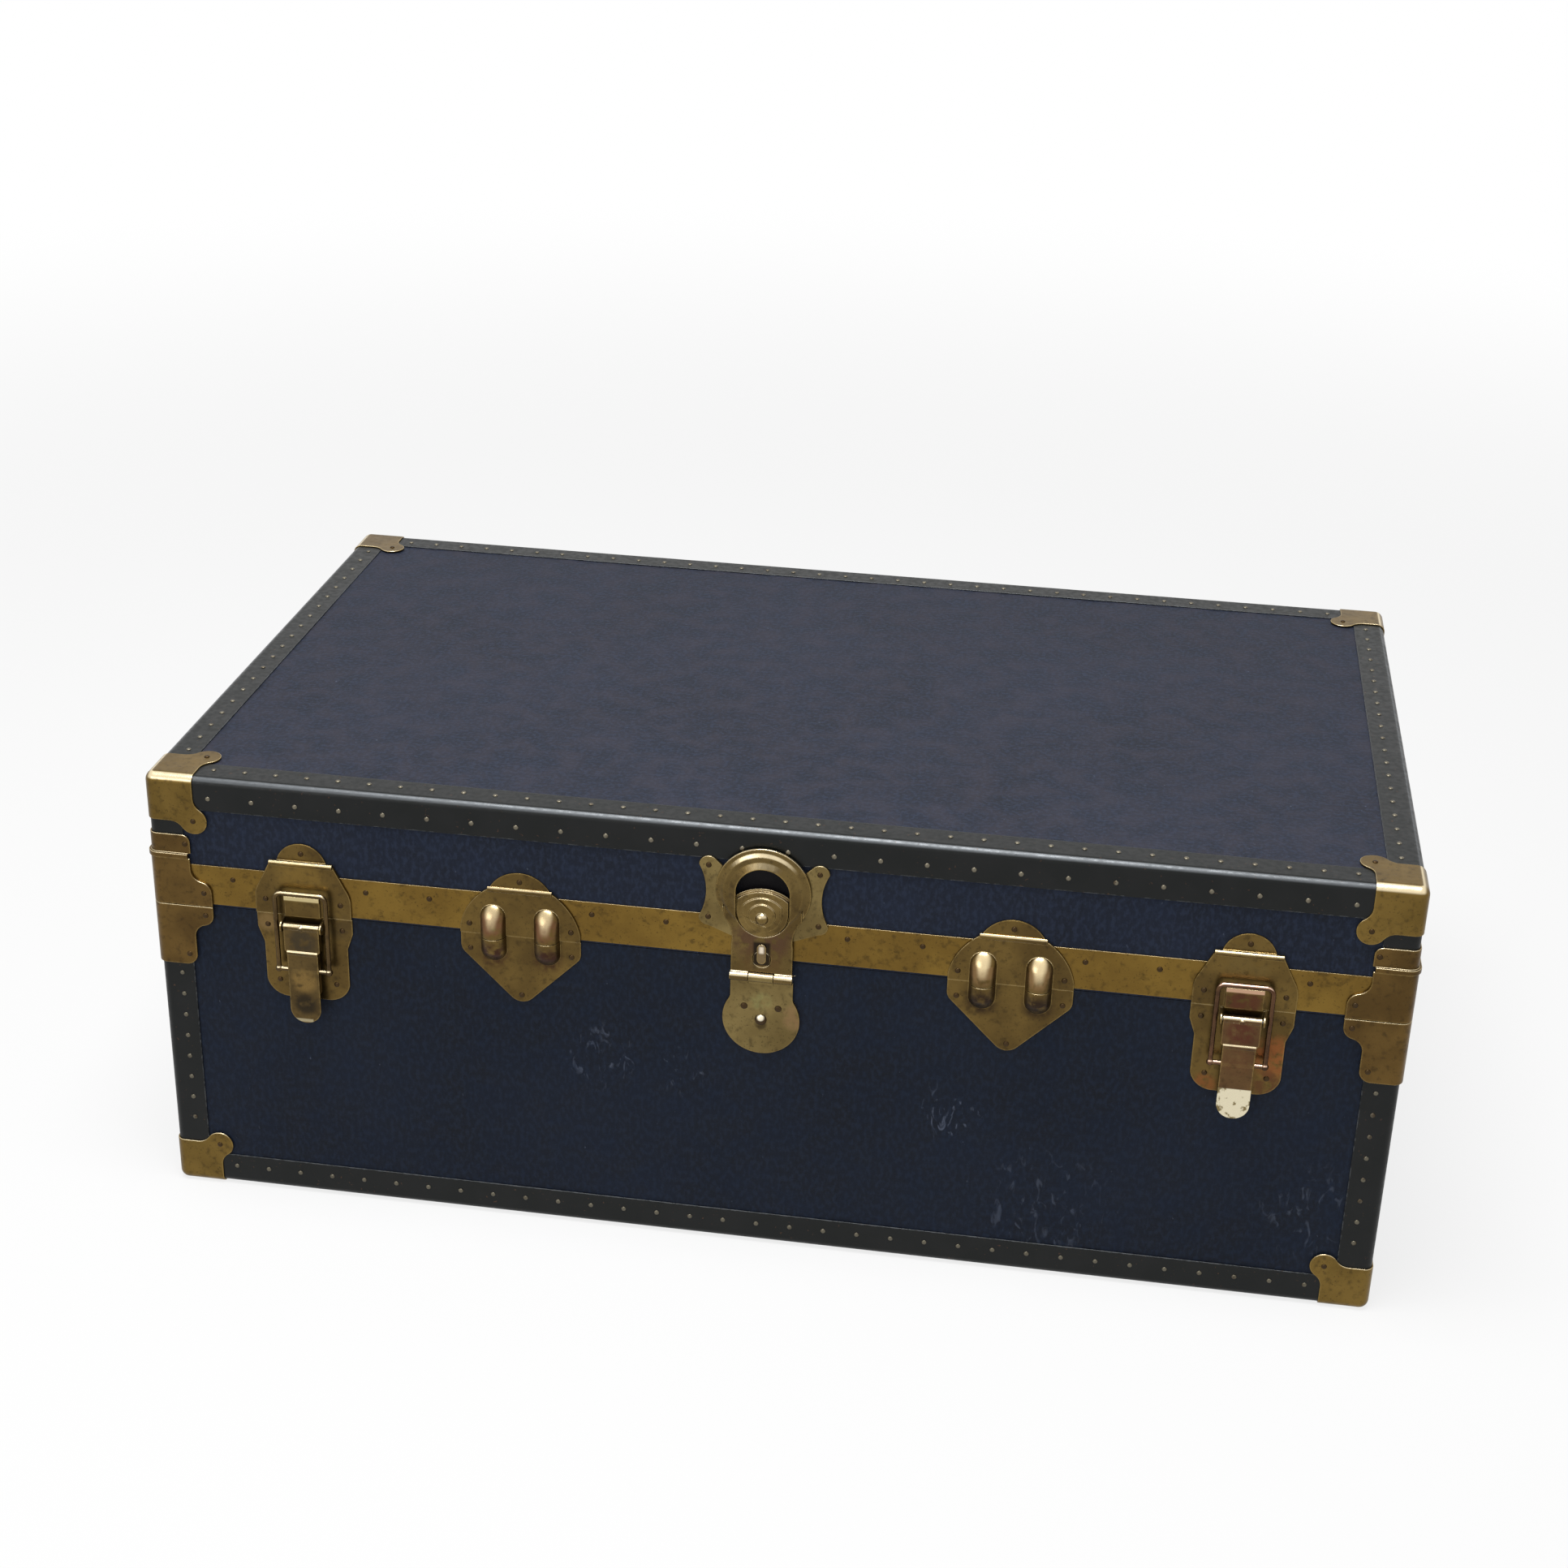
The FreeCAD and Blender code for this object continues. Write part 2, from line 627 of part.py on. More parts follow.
def rim_tongue():
    """Four strips inside the case's rim, which stand up into the lid and centre it."""
    bars = []
    thick = s.side_play + s.tongue_sheet
    for name, across, through, along_x, way in (
        ("front", end - wall, side - wall, True, -1),
        ("back", end - wall, side - wall, True, 1),
        ("left", end - wall, side - wall - thick, False, -1),
        ("right", end - wall, side - wall - thick, False, 1),
    ):
        halves = []
        for level, low, high, inset in (
            ("low", drop(s.tongue_drop), rim, 0),
            ("high", rim, rise(s.tongue_rise), s.side_play),
        ):
            if along_x:
                x = (-across + inset, across - inset)
                y = ordered_range((through - thick) * way, (through - inset) * way)
            else:
                x = ordered_range((across - thick) * way, (across - inset) * way)
                y = (-through, through)
            halves.append(box(f"tongue_{name}_{level}", x, y, (low, high)))
        bars.append(fuse(f"tongue_{name}", halves))
    node("case_rim_tongue", group("tongue", bars))


def ordered_range(first, second):
    """Two bounds with the lower one first."""
    return (first, second) if float(first) < float(second) else (second, first)


def binding_outline():
    """The section of a folded binding, from the corner that it wraps."""
    leg, sheet_size, bend_size = s.binding_leg, s.binding_sheet, s.binding_radius
    start = bend_size - sheet_size
    return [
        (leg, -sheet_size),
        (leg, 0),
        (start, 0),
        (0, start, -start),
        (0, leg),
        (-sheet_size, leg),
        (-sheet_size, start),
        (start, -sheet_size, bend_size),
    ]


def binding(name, inward, other_inward, corner, length):
    """One binding. It grows from its corner along the cross product of the two inward ways."""
    along = inward.cross(other_inward)
    turn = FreeCAD.Rotation(inward, other_inward, along, "ZXY")
    return prism(name, binding_outline(), length, corner, "XY_Plane", False, turn)


def level_bindings(label, height, inward_up):
    """Bindings along the four edges of the bottom or the top, stopped under the caps."""
    x, y = end - binding_stop, side - binding_stop
    strips = [
        binding(f"{label}_front", *ordered(BACK, inward_up, RIGHT), (-x, -side, height), x * 2),
        binding(f"{label}_back", *ordered(FRONT, inward_up, RIGHT), (-x, side, height), x * 2),
        binding(f"{label}_left", *ordered(RIGHT, inward_up, BACK), (-end, -y, height), y * 2),
        binding(f"{label}_right", *ordered(LEFT, inward_up, BACK), (end, -y, height), y * 2),
    ]
    node(label, group(label + "_set", strips))


def ordered(first, second, along):
    """Two inward directions in the order whose cross product points along the edge."""
    return (first, second) if first.cross(second).dot(along) > 0 else (second, first)


def corner_bindings(label, low, high):
    """Bindings up the four corners, between two heights."""
    posts = []
    for side_name, x in SIDES:
        for depth_name, y in (("front", -1), ("back", 1)):
            inward, other = ordered(RIGHT * -x, BACK * -y, UP)
            corner = (end * x, side * y, low)
            posts.append(binding(f"{label}_{side_name}_{depth_name}", inward, other, corner,
                                 high - low))
    node(label, group(label + "_set", posts))


def scoop(lobe, hollow, aside):
    """How far along an edge a hollow curve ends, and where it touches the lobe beside it.

    The lobe's middle lies so far aside of the hollow curve's, and the curve runs into a
    straight edge. The answers are measured from the middle of the lobe.
    """
    spread = lobe + hollow
    along = root(spread * spread - aside * aside)
    return along, aside * lobe / spread, along * lobe / spread


def cap_outline():
    """One face of a corner cap, measured from the two edges that it covers."""
    leg, reach, lobe, curve = s.cap_leg, s.lobe_reach, s.lobe_radius, s.scoop_radius
    along, beside, before = scoop(lobe, curve, leg + curve - reach)
    hollow = reach - along
    touch_x = reach + beside
    touch_y = reach - before
    crest = reach + lobe * math.sqrt(0.5)
    return [
        (0, 0),
        (leg, 0),
        (leg, hollow),
        (touch_x, touch_y, -curve),
        (crest, crest, lobe),
        (touch_y, touch_x, lobe),
        (hollow, leg, -curve),
        (0, leg),
    ]


def rounded_block(size, radius):
    """A block with three rounded edges that meet at the origin's corner."""
    block = Part.makeBox(size, size, size)
    meeting = [e for e in block.Edges if any(v.Point.Length == 0 for v in e.Vertexes)]
    return block.makeFillet(radius, meeting)


def corner_cap():
    """A cap for the corner at the origin, with its faces on the three planes through it."""
    size = float(s.lobe_reach + s.lobe_radius + s.overrun + s.cap_leg)
    outer_radius = float(s.binding_radius + s.cap_sheet)
    inner = rounded_block(size, float(s.binding_radius))
    inner.translate(FreeCAD.Vector(1, 1, 1) * float(s.cap_sheet))
    shell = rounded_block(size, outer_radius).cut(inner)
    faces = []
    for direction in (UP, RIGHT, BACK):
        slab = flat(cap_outline(), direction).extrude(direction * outer_radius)
        faces.append(shell.common(slab))
    cap = faces[0].fuse(faces[1:]).removeSplitter()
    return cap.Solids[0]


def corner_caps(label, at_top):
    """The four caps at the foot of the case or at the top of the lid."""
    cap = corner_cap()
    if at_top:
        cap = cap.mirror(FreeCAD.Vector(), UP)
        cap.translate(vector(0, 0, s.trunk_height))
    cap = cap.mirror(FreeCAD.Vector(), RIGHT)
    cap.translate(vector(end + foot, -side - foot, 0))
    node(label, pressed(label + "_set", every_corner(cap)))


def clamp_outline(seam, turn, middle, far, corner):
    """A wing of a seam clamp: a lobe beside the seam, a waist and a rounded far corner."""
    lobe, curve = s.clamp_lobe_radius, s.clamp_scoop_radius
    reach, width = s.clamp_lobe_reach, s.clamp_width
    along, beside, beyond = scoop(lobe, curve, width + curve - reach)
    return [
        (0, seam),
        (reach + lobe, seam),
        (reach + lobe, middle),
        (reach + beside, middle + beyond * turn, lobe * turn),
        (width, middle + along * turn, curve * -turn),
        (width, far - corner * turn),
        (width - corner, far, corner * turn),
        (0, far),
    ]


def clamp_shell(level, sheet_size, low, high):
    """A bent sheet round the corner at right, front, between two heights."""
    reach = s.clamp_lobe_reach + s.clamp_lobe_radius + s.overrun
    radius = s.binding_radius + sheet_size
    tall = float(high - low)

    def rounded(out, bend_size):
        low_corner = vector(end + out - reach, -side - out, low)
        block = Part.makeBox(float(reach), float(reach), tall, low_corner)
        outermost = max(block.Edges, key=lambda e: e.CenterOfMass.x - e.CenterOfMass.y)
        return block.makeFillet(float(bend_size), [outermost])

    return rounded(level + sheet_size, radius).cut(rounded(level, s.binding_radius))


def seam_clamp(outline, low, high, sheet_size):
    """The wings of a clamp, cut from the bent sheet by its outline on both faces."""
    shell = clamp_shell(s.binding_sheet, sheet_size, low, high)
    depth = float(s.binding_radius + sheet_size)
    outer = s.binding_sheet + sheet_size
    on_front = flat(outline, BACK).extrude(BACK * depth)
    on_front = on_front.mirror(FreeCAD.Vector(), RIGHT)
    on_front.translate(vector(end + outer, -side - outer, 0))
    on_end = flat(outline, RIGHT).extrude(LEFT * depth)
    on_end.translate(vector(end + outer, -side - outer, 0))
    return shell.common(on_front).fuse(shell.common(on_end))


def seam_clamps():
    """The clamps round the four corners, above and below the seam."""
    upper = clamp_outline(lid_rim, 1, rise(s.clamp_lobe_rise), clamp_top,
                          s.clamp_corner_radius)
    step = clamp_top - s.clamp_step_drop
    thick = seam_clamp(upper, lid_rim, step - s.clamp_bead_width, s.clamp_swell)
    bead = seam_clamp(upper, step - s.clamp_bead_width, step, s.clamp_swell + s.clamp_bead)
    thin = seam_clamp(upper, step, clamp_top, s.clamp_sheet)
    whole = thick.fuse([bead, thin]).removeSplitter()
    node("lid_seam_clamps", pressed("lid_clamps", every_corner(whole.Solids[0])))
    lower = clamp_outline(rim, -1, drop(s.clamp_lobe_drop), drop(s.clamp_drop),
                          s.clamp_foot_radius)
    whole = seam_clamp(lower, drop(s.clamp_drop), rim, s.clamp_swell).removeSplitter()
    node("case_seam_clamps", pressed("case_clamps", every_corner(whole.Solids[0])))


def valance():
    """The brass strip round the lid, just above the seam."""
    gap = s.binding_leg + s.strip_end_gap
    x, y = end - gap, side - gap
    heights = (rise(s.strip_rise), rise(s.strip_rise + s.strip_width))
    thick = s.strip_sheet
    strips = [
        box("valance_front", (-x, x), (front(thick), front(0)), heights),
        box("valance_back", (-x, x), (back(0), back(thick)), heights),
        box("valance_left", (-x * 0 - end - thick, -end), (-y, y), heights),
        box("valance_right", (end, end + thick), (-y, y), heights),
    ]
    node("lid_valance", group("valance", strips))


def bridging_plate(name, x, low_outline, high_outline, step, others, bores=()):
    """A lid plate that lies on the brass strip below its step and on the fibre above it."""
    bead = cylinder(name + "_bead", s.plate_bead, s.step_half * 2,
                    (x - s.step_half, front(s.plate_swell), step), RIGHT)
    low = prism(name + "_low", low_outline, s.plate_swell, (x, front(0), 0))
    high = prism(name + "_high", high_outline, s.plate_sheet, (x, front(0), 0))
    reach = s.lock_base_radius * 2
    strip = box(name + "_strip", (x - reach, x + reach), (front(s.strip_sheet), front(-s.overrun)),
                (rim, rise(s.strip_rise + s.strip_width)))
    return cut(name + "_plate", fuse(name + "_blank", [low, high, bead, *others]),
               [strip, *bores])


def arch(half, step, top):
    """The nailed arch over a plate's step, as the right half of an outline."""
    tall = top - step
    radius = (half * half + tall * tall) / (tall * 2)
    return [(half, step), (0, top, radius)]


def draw_bolt(name, x):
    """A draw bolt: its plates, lever and the loop that the lever pulls down over the catch."""
    pivot_z, loop_z = drop(s.pivot_drop), drop(s.loop_pin_drop)
    pivot_y = front(s.pivot_out)

    # The lid's plate and the catch on it.
    low = both_sides([
        (s.bolt_half, lid_rim),
        (s.bolt_half, rise(s.bolt_side_rise)),
        (s.bolt_shoulder_half, rise(s.bolt_shoulder_rise), s.bolt_shoulder_radius),
        (s.step_half, rise(s.bolt_step_rise)),
    ])
    step = rise(s.bolt_step_rise)
    high = both_sides(arch(s.bolt_arch_half, step, rise(s.bolt_arch_rise)))
    width = (x - s.lever_head_half, x + s.lever_head_half)
    face = box(f"catch_{name}_hook", width, (front(s.catch_out), front(s.plate_sheet)),
               (lid_rim, rise(s.catch_rise)))
    lip = box(f"catch_{name}_lip", width, (front(s.catch_lip_out), front(s.plate_sheet)),
              (rise(s.catch_rise - s.catch_lip), rise(s.catch_rise)))
    node(f"draw_bolt_catch_{name}", bridging_plate(f"catch_{name}", x, low, high, step,
                                                  [face, lip]))

    # The case's plate with its two ears.
    outline = both_sides([
        (s.bolt_foot_half, drop(s.bolt_foot_drop)),
        (s.bolt_waist_half, drop(s.bolt_corner_drop), s.bolt_corner_radius),
        (s.bolt_waist_half, drop(s.bolt_waist_drop)),
        (s.bolt_half, drop(s.bolt_flare_drop)),
        (s.bolt_half, rim),
    ])
    pieces = [prism(f"base_{name}_plate", outline, s.plate_sheet, (x, front(0), 0))]
    for side_name, sign in SIDES:
        inner = x + (s.lever_head_half + s.side_play * 2) * sign
        start = inner if sign > 0 else inner - s.lug_sheet
        pieces.append(cylinder(f"base_{name}_ear_{side_name}", s.lug_radius, s.lug_sheet,
                               (start, pivot_y, pivot_z), RIGHT))
        pieces.append(box(f"base_{name}_stem_{side_name}", (start, start + s.lug_sheet),
                          (pivot_y, front(0)), (pivot_z - s.lug_radius, pivot_z + s.lug_radius)))
    reach = s.lever_head_half + s.side_play * 2 + s.lug_sheet
    bore = cylinder(f"base_{name}_bore", s.pivot_pin_radius, reach * 2 + s.overrun * 2,
                    (x - reach - s.overrun, pivot_y, pivot_z), RIGHT)
    node(f"draw_bolt_base_{name}", cut(f"base_{name}", fuse(f"base_{name}_blank", pieces), [bore]))
    node(f"draw_bolt_pin_{name}", cylinder(f"pin_{name}", s.pivot_pin_radius, reach * 2,
                                           (x - reach, pivot_y, pivot_z), RIGHT))

    # The lever: a folded channel from its barrel down to the thumb tab.
    lever_outline = both_sides([
        (s.lever_half, drop(s.lever_foot_drop)),
        (s.lever_half, drop(s.lever_rib_drop)),
        (s.lever_head_half, drop(s.lever_neck_drop)),
        (s.lever_head_half, pivot_z),
    ])
    tab_outline = both_sides([
        (0, drop(s.tab_drop)),
        (s.lever_half, drop(s.tab_drop) + s.lever_half, s.lever_half),
        (s.lever_half, drop(s.lever_foot_drop) + s.lever_sheet),
    ])
    inside_out = s.lever_out - s.lever_sheet
    pieces = [
        prism(f"lever_{name}_channel", lever_outline, s.lever_depth,
              (x, front(s.lever_out - s.lever_depth), 0)),
        prism(f"lever_{name}_tab", tab_outline, s.lever_sheet, (x, front(inside_out), 0)),
        cylinder(f"lever_{name}_barrel", s.barrel_radius, s.lever_head_half * 2,
                 (x - s.lever_head_half, pivot_y, pivot_z), RIGHT),
        cylinder(f"lever_{name}_rib", s.lever_rib_radius, s.lever_half * 2,
                 (x - s.lever_half, front(s.lever_out - s.lever_rib_radius / 2),
                  drop(s.lever_rib_drop)), RIGHT),
        sphere(f"lever_{name}_rivet", s.lever_rivet_radius,
               (x, front(s.pivot_out + s.barrel_radius - s.lever_rivet_radius / 2), pivot_z)),
    ]
    hollow = (front(inside_out), front(s.pivot_out - s.lever_depth))
    narrow, wide = s.lever_half - s.lever_sheet, s.lever_head_half - s.lever_sheet
    bores = [
        box(f"lever_{name}_hollow", (x - narrow, x + narrow), hollow,
            (drop(s.lever_foot_drop + s.overrun), drop(s.lever_rib_drop - s.overrun))),
        box(f"lever_{name}_head_hollow", (x - wide, x + wide), hollow,
            (drop(s.lever_neck_drop), pivot_z - s.barrel_radius * 0.8)),
        cylinder(f"lever_{name}_bore", s.pivot_pin_radius + s.play,
                 (s.lever_head_half + s.overrun) * 2,
                 (x - s.lever_head_half - s.overrun, pivot_y, pivot_z), RIGHT),
        cylinder(f"lever_{name}_eye", s.loop_wire + s.play, (s.lever_half + s.overrun) * 2,
                 (x - s.lever_half - s.overrun, pivot_y, loop_z), RIGHT),
    ]
    node(f"draw_bolt_lever_{name}", cut(f"lever_{name}", fuse(f"lever_{name}_blank", pieces), bores))

    # The loop: one bent wire with a ball at each foot and pins that turn in the lever.
    top_z, bend_z = rise(s.loop_rise), rise(s.loop_rise) - s.loop_bend
    pieces = [cylinder(f"loop_{name}_bar", s.loop_wire, (s.loop_half - s.loop_bend) * 2,
                       (x - s.loop_half + s.loop_bend, pivot_y, top_z), RIGHT)]
    for side_name, sign in SIDES:
        post_x = x + s.loop_half * sign
        pieces.append(cylinder(f"loop_{name}_post_{side_name}", s.loop_wire, bend_z - loop_z,
                               (post_x, pivot_y, loop_z)))
        turn = FreeCAD.Rotation(RIGHT * sign, UP, RIGHT.cross(UP) * sign, "ZXY")
        pieces.append(bend(f"loop_{name}_bend_{side_name}", s.loop_bend, s.loop_wire,
                           (post_x - s.loop_bend * sign, pivot_y, bend_z), turn))
        pieces.append(sphere(f"loop_{name}_ball_{side_name}", s.loop_ball,
                             (post_x, pivot_y, loop_z)))
        length = s.loop_half - s.lever_half + s.loop_grip
        start = post_x if sign < 0 else post_x - length
        pieces.append(cylinder(f"loop_{name}_pin_{side_name}", s.loop_wire, length,
                               (start, pivot_y, loop_z), RIGHT))
    node(f"draw_bolt_loop_{name}", fuse(f"loop_{name}", pieces))


def half_dome(name, x, low, high, round_top):
    """A pressed dome with one round end, standing out from a plate."""
    radius = s.dome_radius
    middle = high - radius if round_top else low + radius
    base = low if round_top else middle
    length = (high - low) - radius
    rod = cylinder(name + "_rod", radius, length, (x, front(s.dome_out), base))
    ball = sphere(name + "_ball", radius, (x, front(s.dome_out), middle))
    behind = box(name + "_behind", (x - radius * 2, x + radius * 2), (front(0), front(-radius * 2)),
                 (low - radius * 2, high + radius * 2))
    beyond = (high, high + radius * 2) if not round_top else (low - radius * 2, low)
    past = box(name + "_past", (x - radius * 2, x + radius * 2),
               (front(radius * 3), front(-radius * 3)), beyond)
    return cut(name, fuse(name + "_blank", [rod, ball]), [behind, past])


def dowel(name, x):
    """A pair of dowel pins on the lid and their sockets on the case."""
    low = both_sides([
        (s.dowel_half, lid_rim),
        (s.dowel_half, rise(s.dowel_side_rise)),
        (s.step_half, rise(s.dowel_step_rise), s.dowel_shoulder_radius),
    ])
    step = rise(s.dowel_step_rise)
    high = both_sides(arch(s.dowel_arch_half, step, rise(s.dowel_arch_rise)))
    slant = math.sqrt(0.5)
    foot_outline = both_sides([
        (0, drop(s.dowel_foot_drop)),
        (s.dowel_point_half, drop(s.dowel_point_drop), s.dowel_point_radius),
        (s.dowel_half - s.dowel_corner * slant, drop(s.dowel_side_drop + s.dowel_corner * slant)),
        (s.dowel_half, drop(s.dowel_side_drop - s.dowel_corner), s.dowel_corner_radius),
        (s.dowel_half, rim),
    ])
    lid_pieces, case_pieces, bores, sockets, pins = [], [], [], [], []
    case_pieces.append(prism(f"socket_{name}_plate", foot_outline, s.plate_sheet,
                             (x, front(0), 0)))
    for side_name, sign in SIDES:
        at = x + s.dome_place * sign
        pin_y = front(s.dowel_pin_out)
        tag = f"{name}_{side_name}"
        lid_pieces.append(half_dome(f"lid_dome_{tag}", at, lid_rim, rise(s.dome_rise), True))
        case_pieces.append(half_dome(f"case_dome_{tag}", at, drop(s.dome_drop), rim, False))
        bores.append(cylinder(f"dowel_bore_{tag}", s.dowel_pin_radius,
                              s.dowel_pin_grip - s.seam_gap + s.overrun,
                              (at, pin_y, lid_rim - s.overrun)))
        sockets.append(cylinder(f"dowel_socket_{tag}", s.dowel_pin_radius + s.side_play,
                                s.socket_drop + s.overrun, (at, pin_y, drop(s.socket_drop))))
        tip = cone(f"dowel_tip_{tag}", s.dowel_pin_radius - s.dowel_pin_nose / 2,
                   s.dowel_pin_radius, s.dowel_pin_nose, (at, pin_y, drop(s.dowel_pin_drop)))
        shank = cylinder(f"dowel_shank_{tag}", s.dowel_pin_radius,
                         s.dowel_pin_drop - s.dowel_pin_nose + s.dowel_pin_grip,
                         (at, pin_y, drop(s.dowel_pin_drop - s.dowel_pin_nose)))
        pins.append(fuse(f"dowel_pin_{tag}", [tip, shank]))
    node(f"dowel_pin_plate_{name}",
         bridging_plate(f"dowel_{name}", x, low, high, step, lid_pieces, bores))
    node(f"dowel_socket_plate_{name}",
         cut(f"dowel_case_{name}", fuse(f"dowel_case_{name}_blank", case_pieces), sockets))
    return pins


def slide_outline(inset):
    """The slide's outline, smaller by an inset: an arched top and a round foot."""
    top = arch(s.slide_half - inset, rise(s.slide_shoulder_rise) - inset,
               rise(s.slide_crest_rise) - inset)
    return both_sides([
        (0, rise(s.slide_foot_rise) + inset),
        (s.slide_half - inset, rise(s.slide_side_rise), s.slide_side_radius - inset),
        *top,
    ])


def slot_outline(outset):
    """The hasp's opening: the ring's round hole, drawn down round the slide by a clearance."""
    half = s.ring_hole_radius + outset
    return both_sides([
        (0, rise(s.slide_foot_rise) - outset - s.side_play),
        (half, rise(s.slide_side_rise), s.slide_side_radius + s.side_play * 2 + outset),
        (half, rise(s.ring_rise)),
        (0, rise(s.ring_rise) + half, half),
    ])


def lock_plate():
    """The lid's plate, with four nailed ears and a hollow side between them."""
    ear, ear_x, slant = s.ear_radius, s.ear_place, math.sqrt(0.5)
    outline = both_sides([
        (s.hasp_neck_half, rise(s.slide_foot_rise) - ear / 2),
        (ear_x, rise(s.ear_low_rise) - ear),
        (ear_x + ear, rise(s.ear_low_rise), ear),
        (ear_x + ear, high_ear, -s.ear_sweep_radius),
        (ear_x - ear * slant, high_ear + ear * slant, ear),
        (ear_x - ear * (slant + 1), high_ear + ear * (slant - 1)),
    ])
    blank = prism("lock_plate_blank", outline, s.lock_plate_out, (0, front(0), 0))
    across = (-ear_x * 2, ear_x * 2)
    strip = box("lock_plate_strip", across, (front(s.strip_sheet), front(-s.overrun)),
                (rim, rise(s.strip_rise + s.strip_width)))
    lap = box("lock_plate_lap", across, (front(s.binding_sheet), front(-s.overrun)),
              (crown - s.binding_leg, crown))
    staple = cylinder("lock_plate_staple", s.staple_radius, s.lock_plate_out + s.overrun * 2,
                      (0, front(-s.overrun), rise(s.ring_rise)), FRONT)
    node("lock_lid_plate", cut("lock_plate", blank, [strip, lap, staple]))


def lock():
    """The lock: plates on lid and case, and a hasp with its slide, cylinder and keyhole cover."""
    hinge_z, hinge_y = drop(s.hasp_pivot_drop), front(s.hasp_pivot_out)
    lock_plate()

    # The case's plate, which carries the middle knuckle.
    half = s.hasp_half
    radius, middle = s.lock_base_radius, drop(s.lock_base_drop)
    along, beside, above = scoop(radius, s.lock_base_scoop, half + s.lock_base_scoop)
    outline = both_sides([
        (0, middle - radius),
        (radius, middle, radius),
        (beside, middle + above, radius),
        (half, middle + along, -s.lock_base_scoop),
        (half, drop(s.lock_base_top_drop)),
    ])
    knuckle = s.hasp_knuckle_half
    pieces = [
        prism("lock_base_blank", outline, s.lock_base_out, (0, front(0), 0)),
        cylinder("lock_base_knuckle", s.hasp_barrel_radius, knuckle * 2,
                 (-knuckle, hinge_y, hinge_z), RIGHT),
        box("lock_base_stem", (-knuckle, knuckle), (hinge_y, front(0)),
            (drop(s.lock_base_top_drop) - s.overrun, hinge_z)),
    ]
    bore = cylinder("lock_base_bore", s.hasp_pin_radius, (knuckle + s.overrun) * 2,
                    (-knuckle - s.overrun, hinge_y, hinge_z), RIGHT)
    node("lock_base_plate", cut("lock_base", fuse("lock_base_whole", pieces), [bore]))
    node("lock_hinge_pin", cylinder("lock_pin", s.hasp_pin_radius, half * 2,
                                    (-half, hinge_y, hinge_z), RIGHT))

    # The hasp: two knuckles, a neck, shoulders and a moulded ring with a finger hole.
    ring_z, back_out = rise(s.ring_rise), s.hasp_back_out
    neck = both_sides([
        (s.hasp_neck_half, hinge_z),
        (s.hasp_neck_half, rise(s.hasp_neck_rise)),
        (s.hasp_shoulder_half, rise(s.hasp_shoulder_rise), -s.hasp_sweep_radius),
        (s.hasp_shoulder_half, ring_z),
    ])
    moulding = [
        (s.ring_hole_radius / 2, back_out),
        (s.ring_radius, back_out),
        (s.ring_radius, s.ring_rim_out),
        (s.ring_rim_radius, s.ring_rim_out),
        (s.ring_ridge_radius, s.ring_ridge_out),
        (s.ring_dish_radius, s.ring_dish_out),
        (s.ring_hole_radius, s.ring_lip_out),
        (s.ring_hole_radius / 2, s.ring_lip_out),
    ]
    pieces = [
        prism("hasp_neck", neck, s.hasp_face_out - back_out, (0, front(back_out), 0)),
        lathe("hasp_ring", moulding, (0, front(0), ring_z), FreeCAD.Rotation(UP, FRONT)),
        cylinder("hasp_ring_core", s.ring_dish_radius, s.ring_dish_out - back_out,
                 (0, front(back_out), ring_z), FRONT),
    ]
    reach = half - knuckle - s.side_play
    for side_name, sign in SIDES:
        start = knuckle + s.side_play if sign > 0 else -half
        pieces.append(cylinder(f"hasp_knuckle_{side_name}", s.hasp_barrel_radius, reach,
                               (start, hinge_y, hinge_z), RIGHT))
    clear = s.hasp_barrel_radius + s.side_play
    behind = back_out - s.overrun
    track_out = s.slide_flange_sheet + s.side_play + s.overrun
    tools = [
        cylinder("hasp_bore", s.hasp_pin_radius + s.play, (half + s.overrun) * 2,
                 (-half - s.overrun, hinge_y, hinge_z), RIGHT),
        box("hasp_relief", (-knuckle - s.side_play, knuckle + s.side_play),
            (front(s.hasp_pivot_out + clear), front(0)), (hinge_z - clear, hinge_z + clear)),
        prism("hasp_slot", slot_outline(s.side_play * 0), s.ring_lip_out, (0, front(behind), 0)),
        prism("hasp_track", slot_outline(s.slide_flange + s.side_play), track_out,
              (0, front(behind), 0)),
        cylinder("hasp_keyhole", s.cylinder_radius + s.play, s.hasp_face_out,
                 (0, front(behind), rise(s.cylinder_rise)), FRONT),
        cylinder("hasp_cover_bore", s.cover_pin_radius + s.play, s.hasp_face_out,
                 (0, front(behind), rise(s.cover_rise)), FRONT),
    ]
    node("lock_hasp", cut("hasp", fuse("hasp_blank", pieces), tools))

    # The slide, stepped like a shell, with a flange that keeps it behind the ring's lip.
    pieces = [prism("slide_flange", slide_outline(-s.slide_flange), s.slide_flange_sheet,
                    (0, front(back_out), 0))]
    for i in range(3):
        pieces.append(prism(f"slide_step_{i}", slide_outline(s.slide_step * i),
                            s.slide_out + s.slide_step_out * i - back_out,
                            (0, front(back_out), 0)))
    pieces.append(sphere("slide_boss", s.slide_boss_radius,
                         (0, front(s.slide_out + s.slide_step_out), rise(s.slide_boss_rise))))
    node("lock_slide", fuse("slide", pieces))

    # The lock cylinder with its keyway.
    key_z = rise(s.cylinder_rise)
    core = cylinder("cylinder_core", s.cylinder_radius, s.hasp_face_out - back_out,
                    (0, front(back_out), key_z), FRONT)
    keyway = box("cylinder_keyway", (-s.keyway_half, s.keyway_half),
                 (front(s.hasp_face_out + s.overrun), front(back_out + s.overrun)),
                 (key_z - s.keyway_length / 2, key_z + s.keyway_length / 2))
    node("lock_cylinder", cut("cylinder", core, [keyway]))

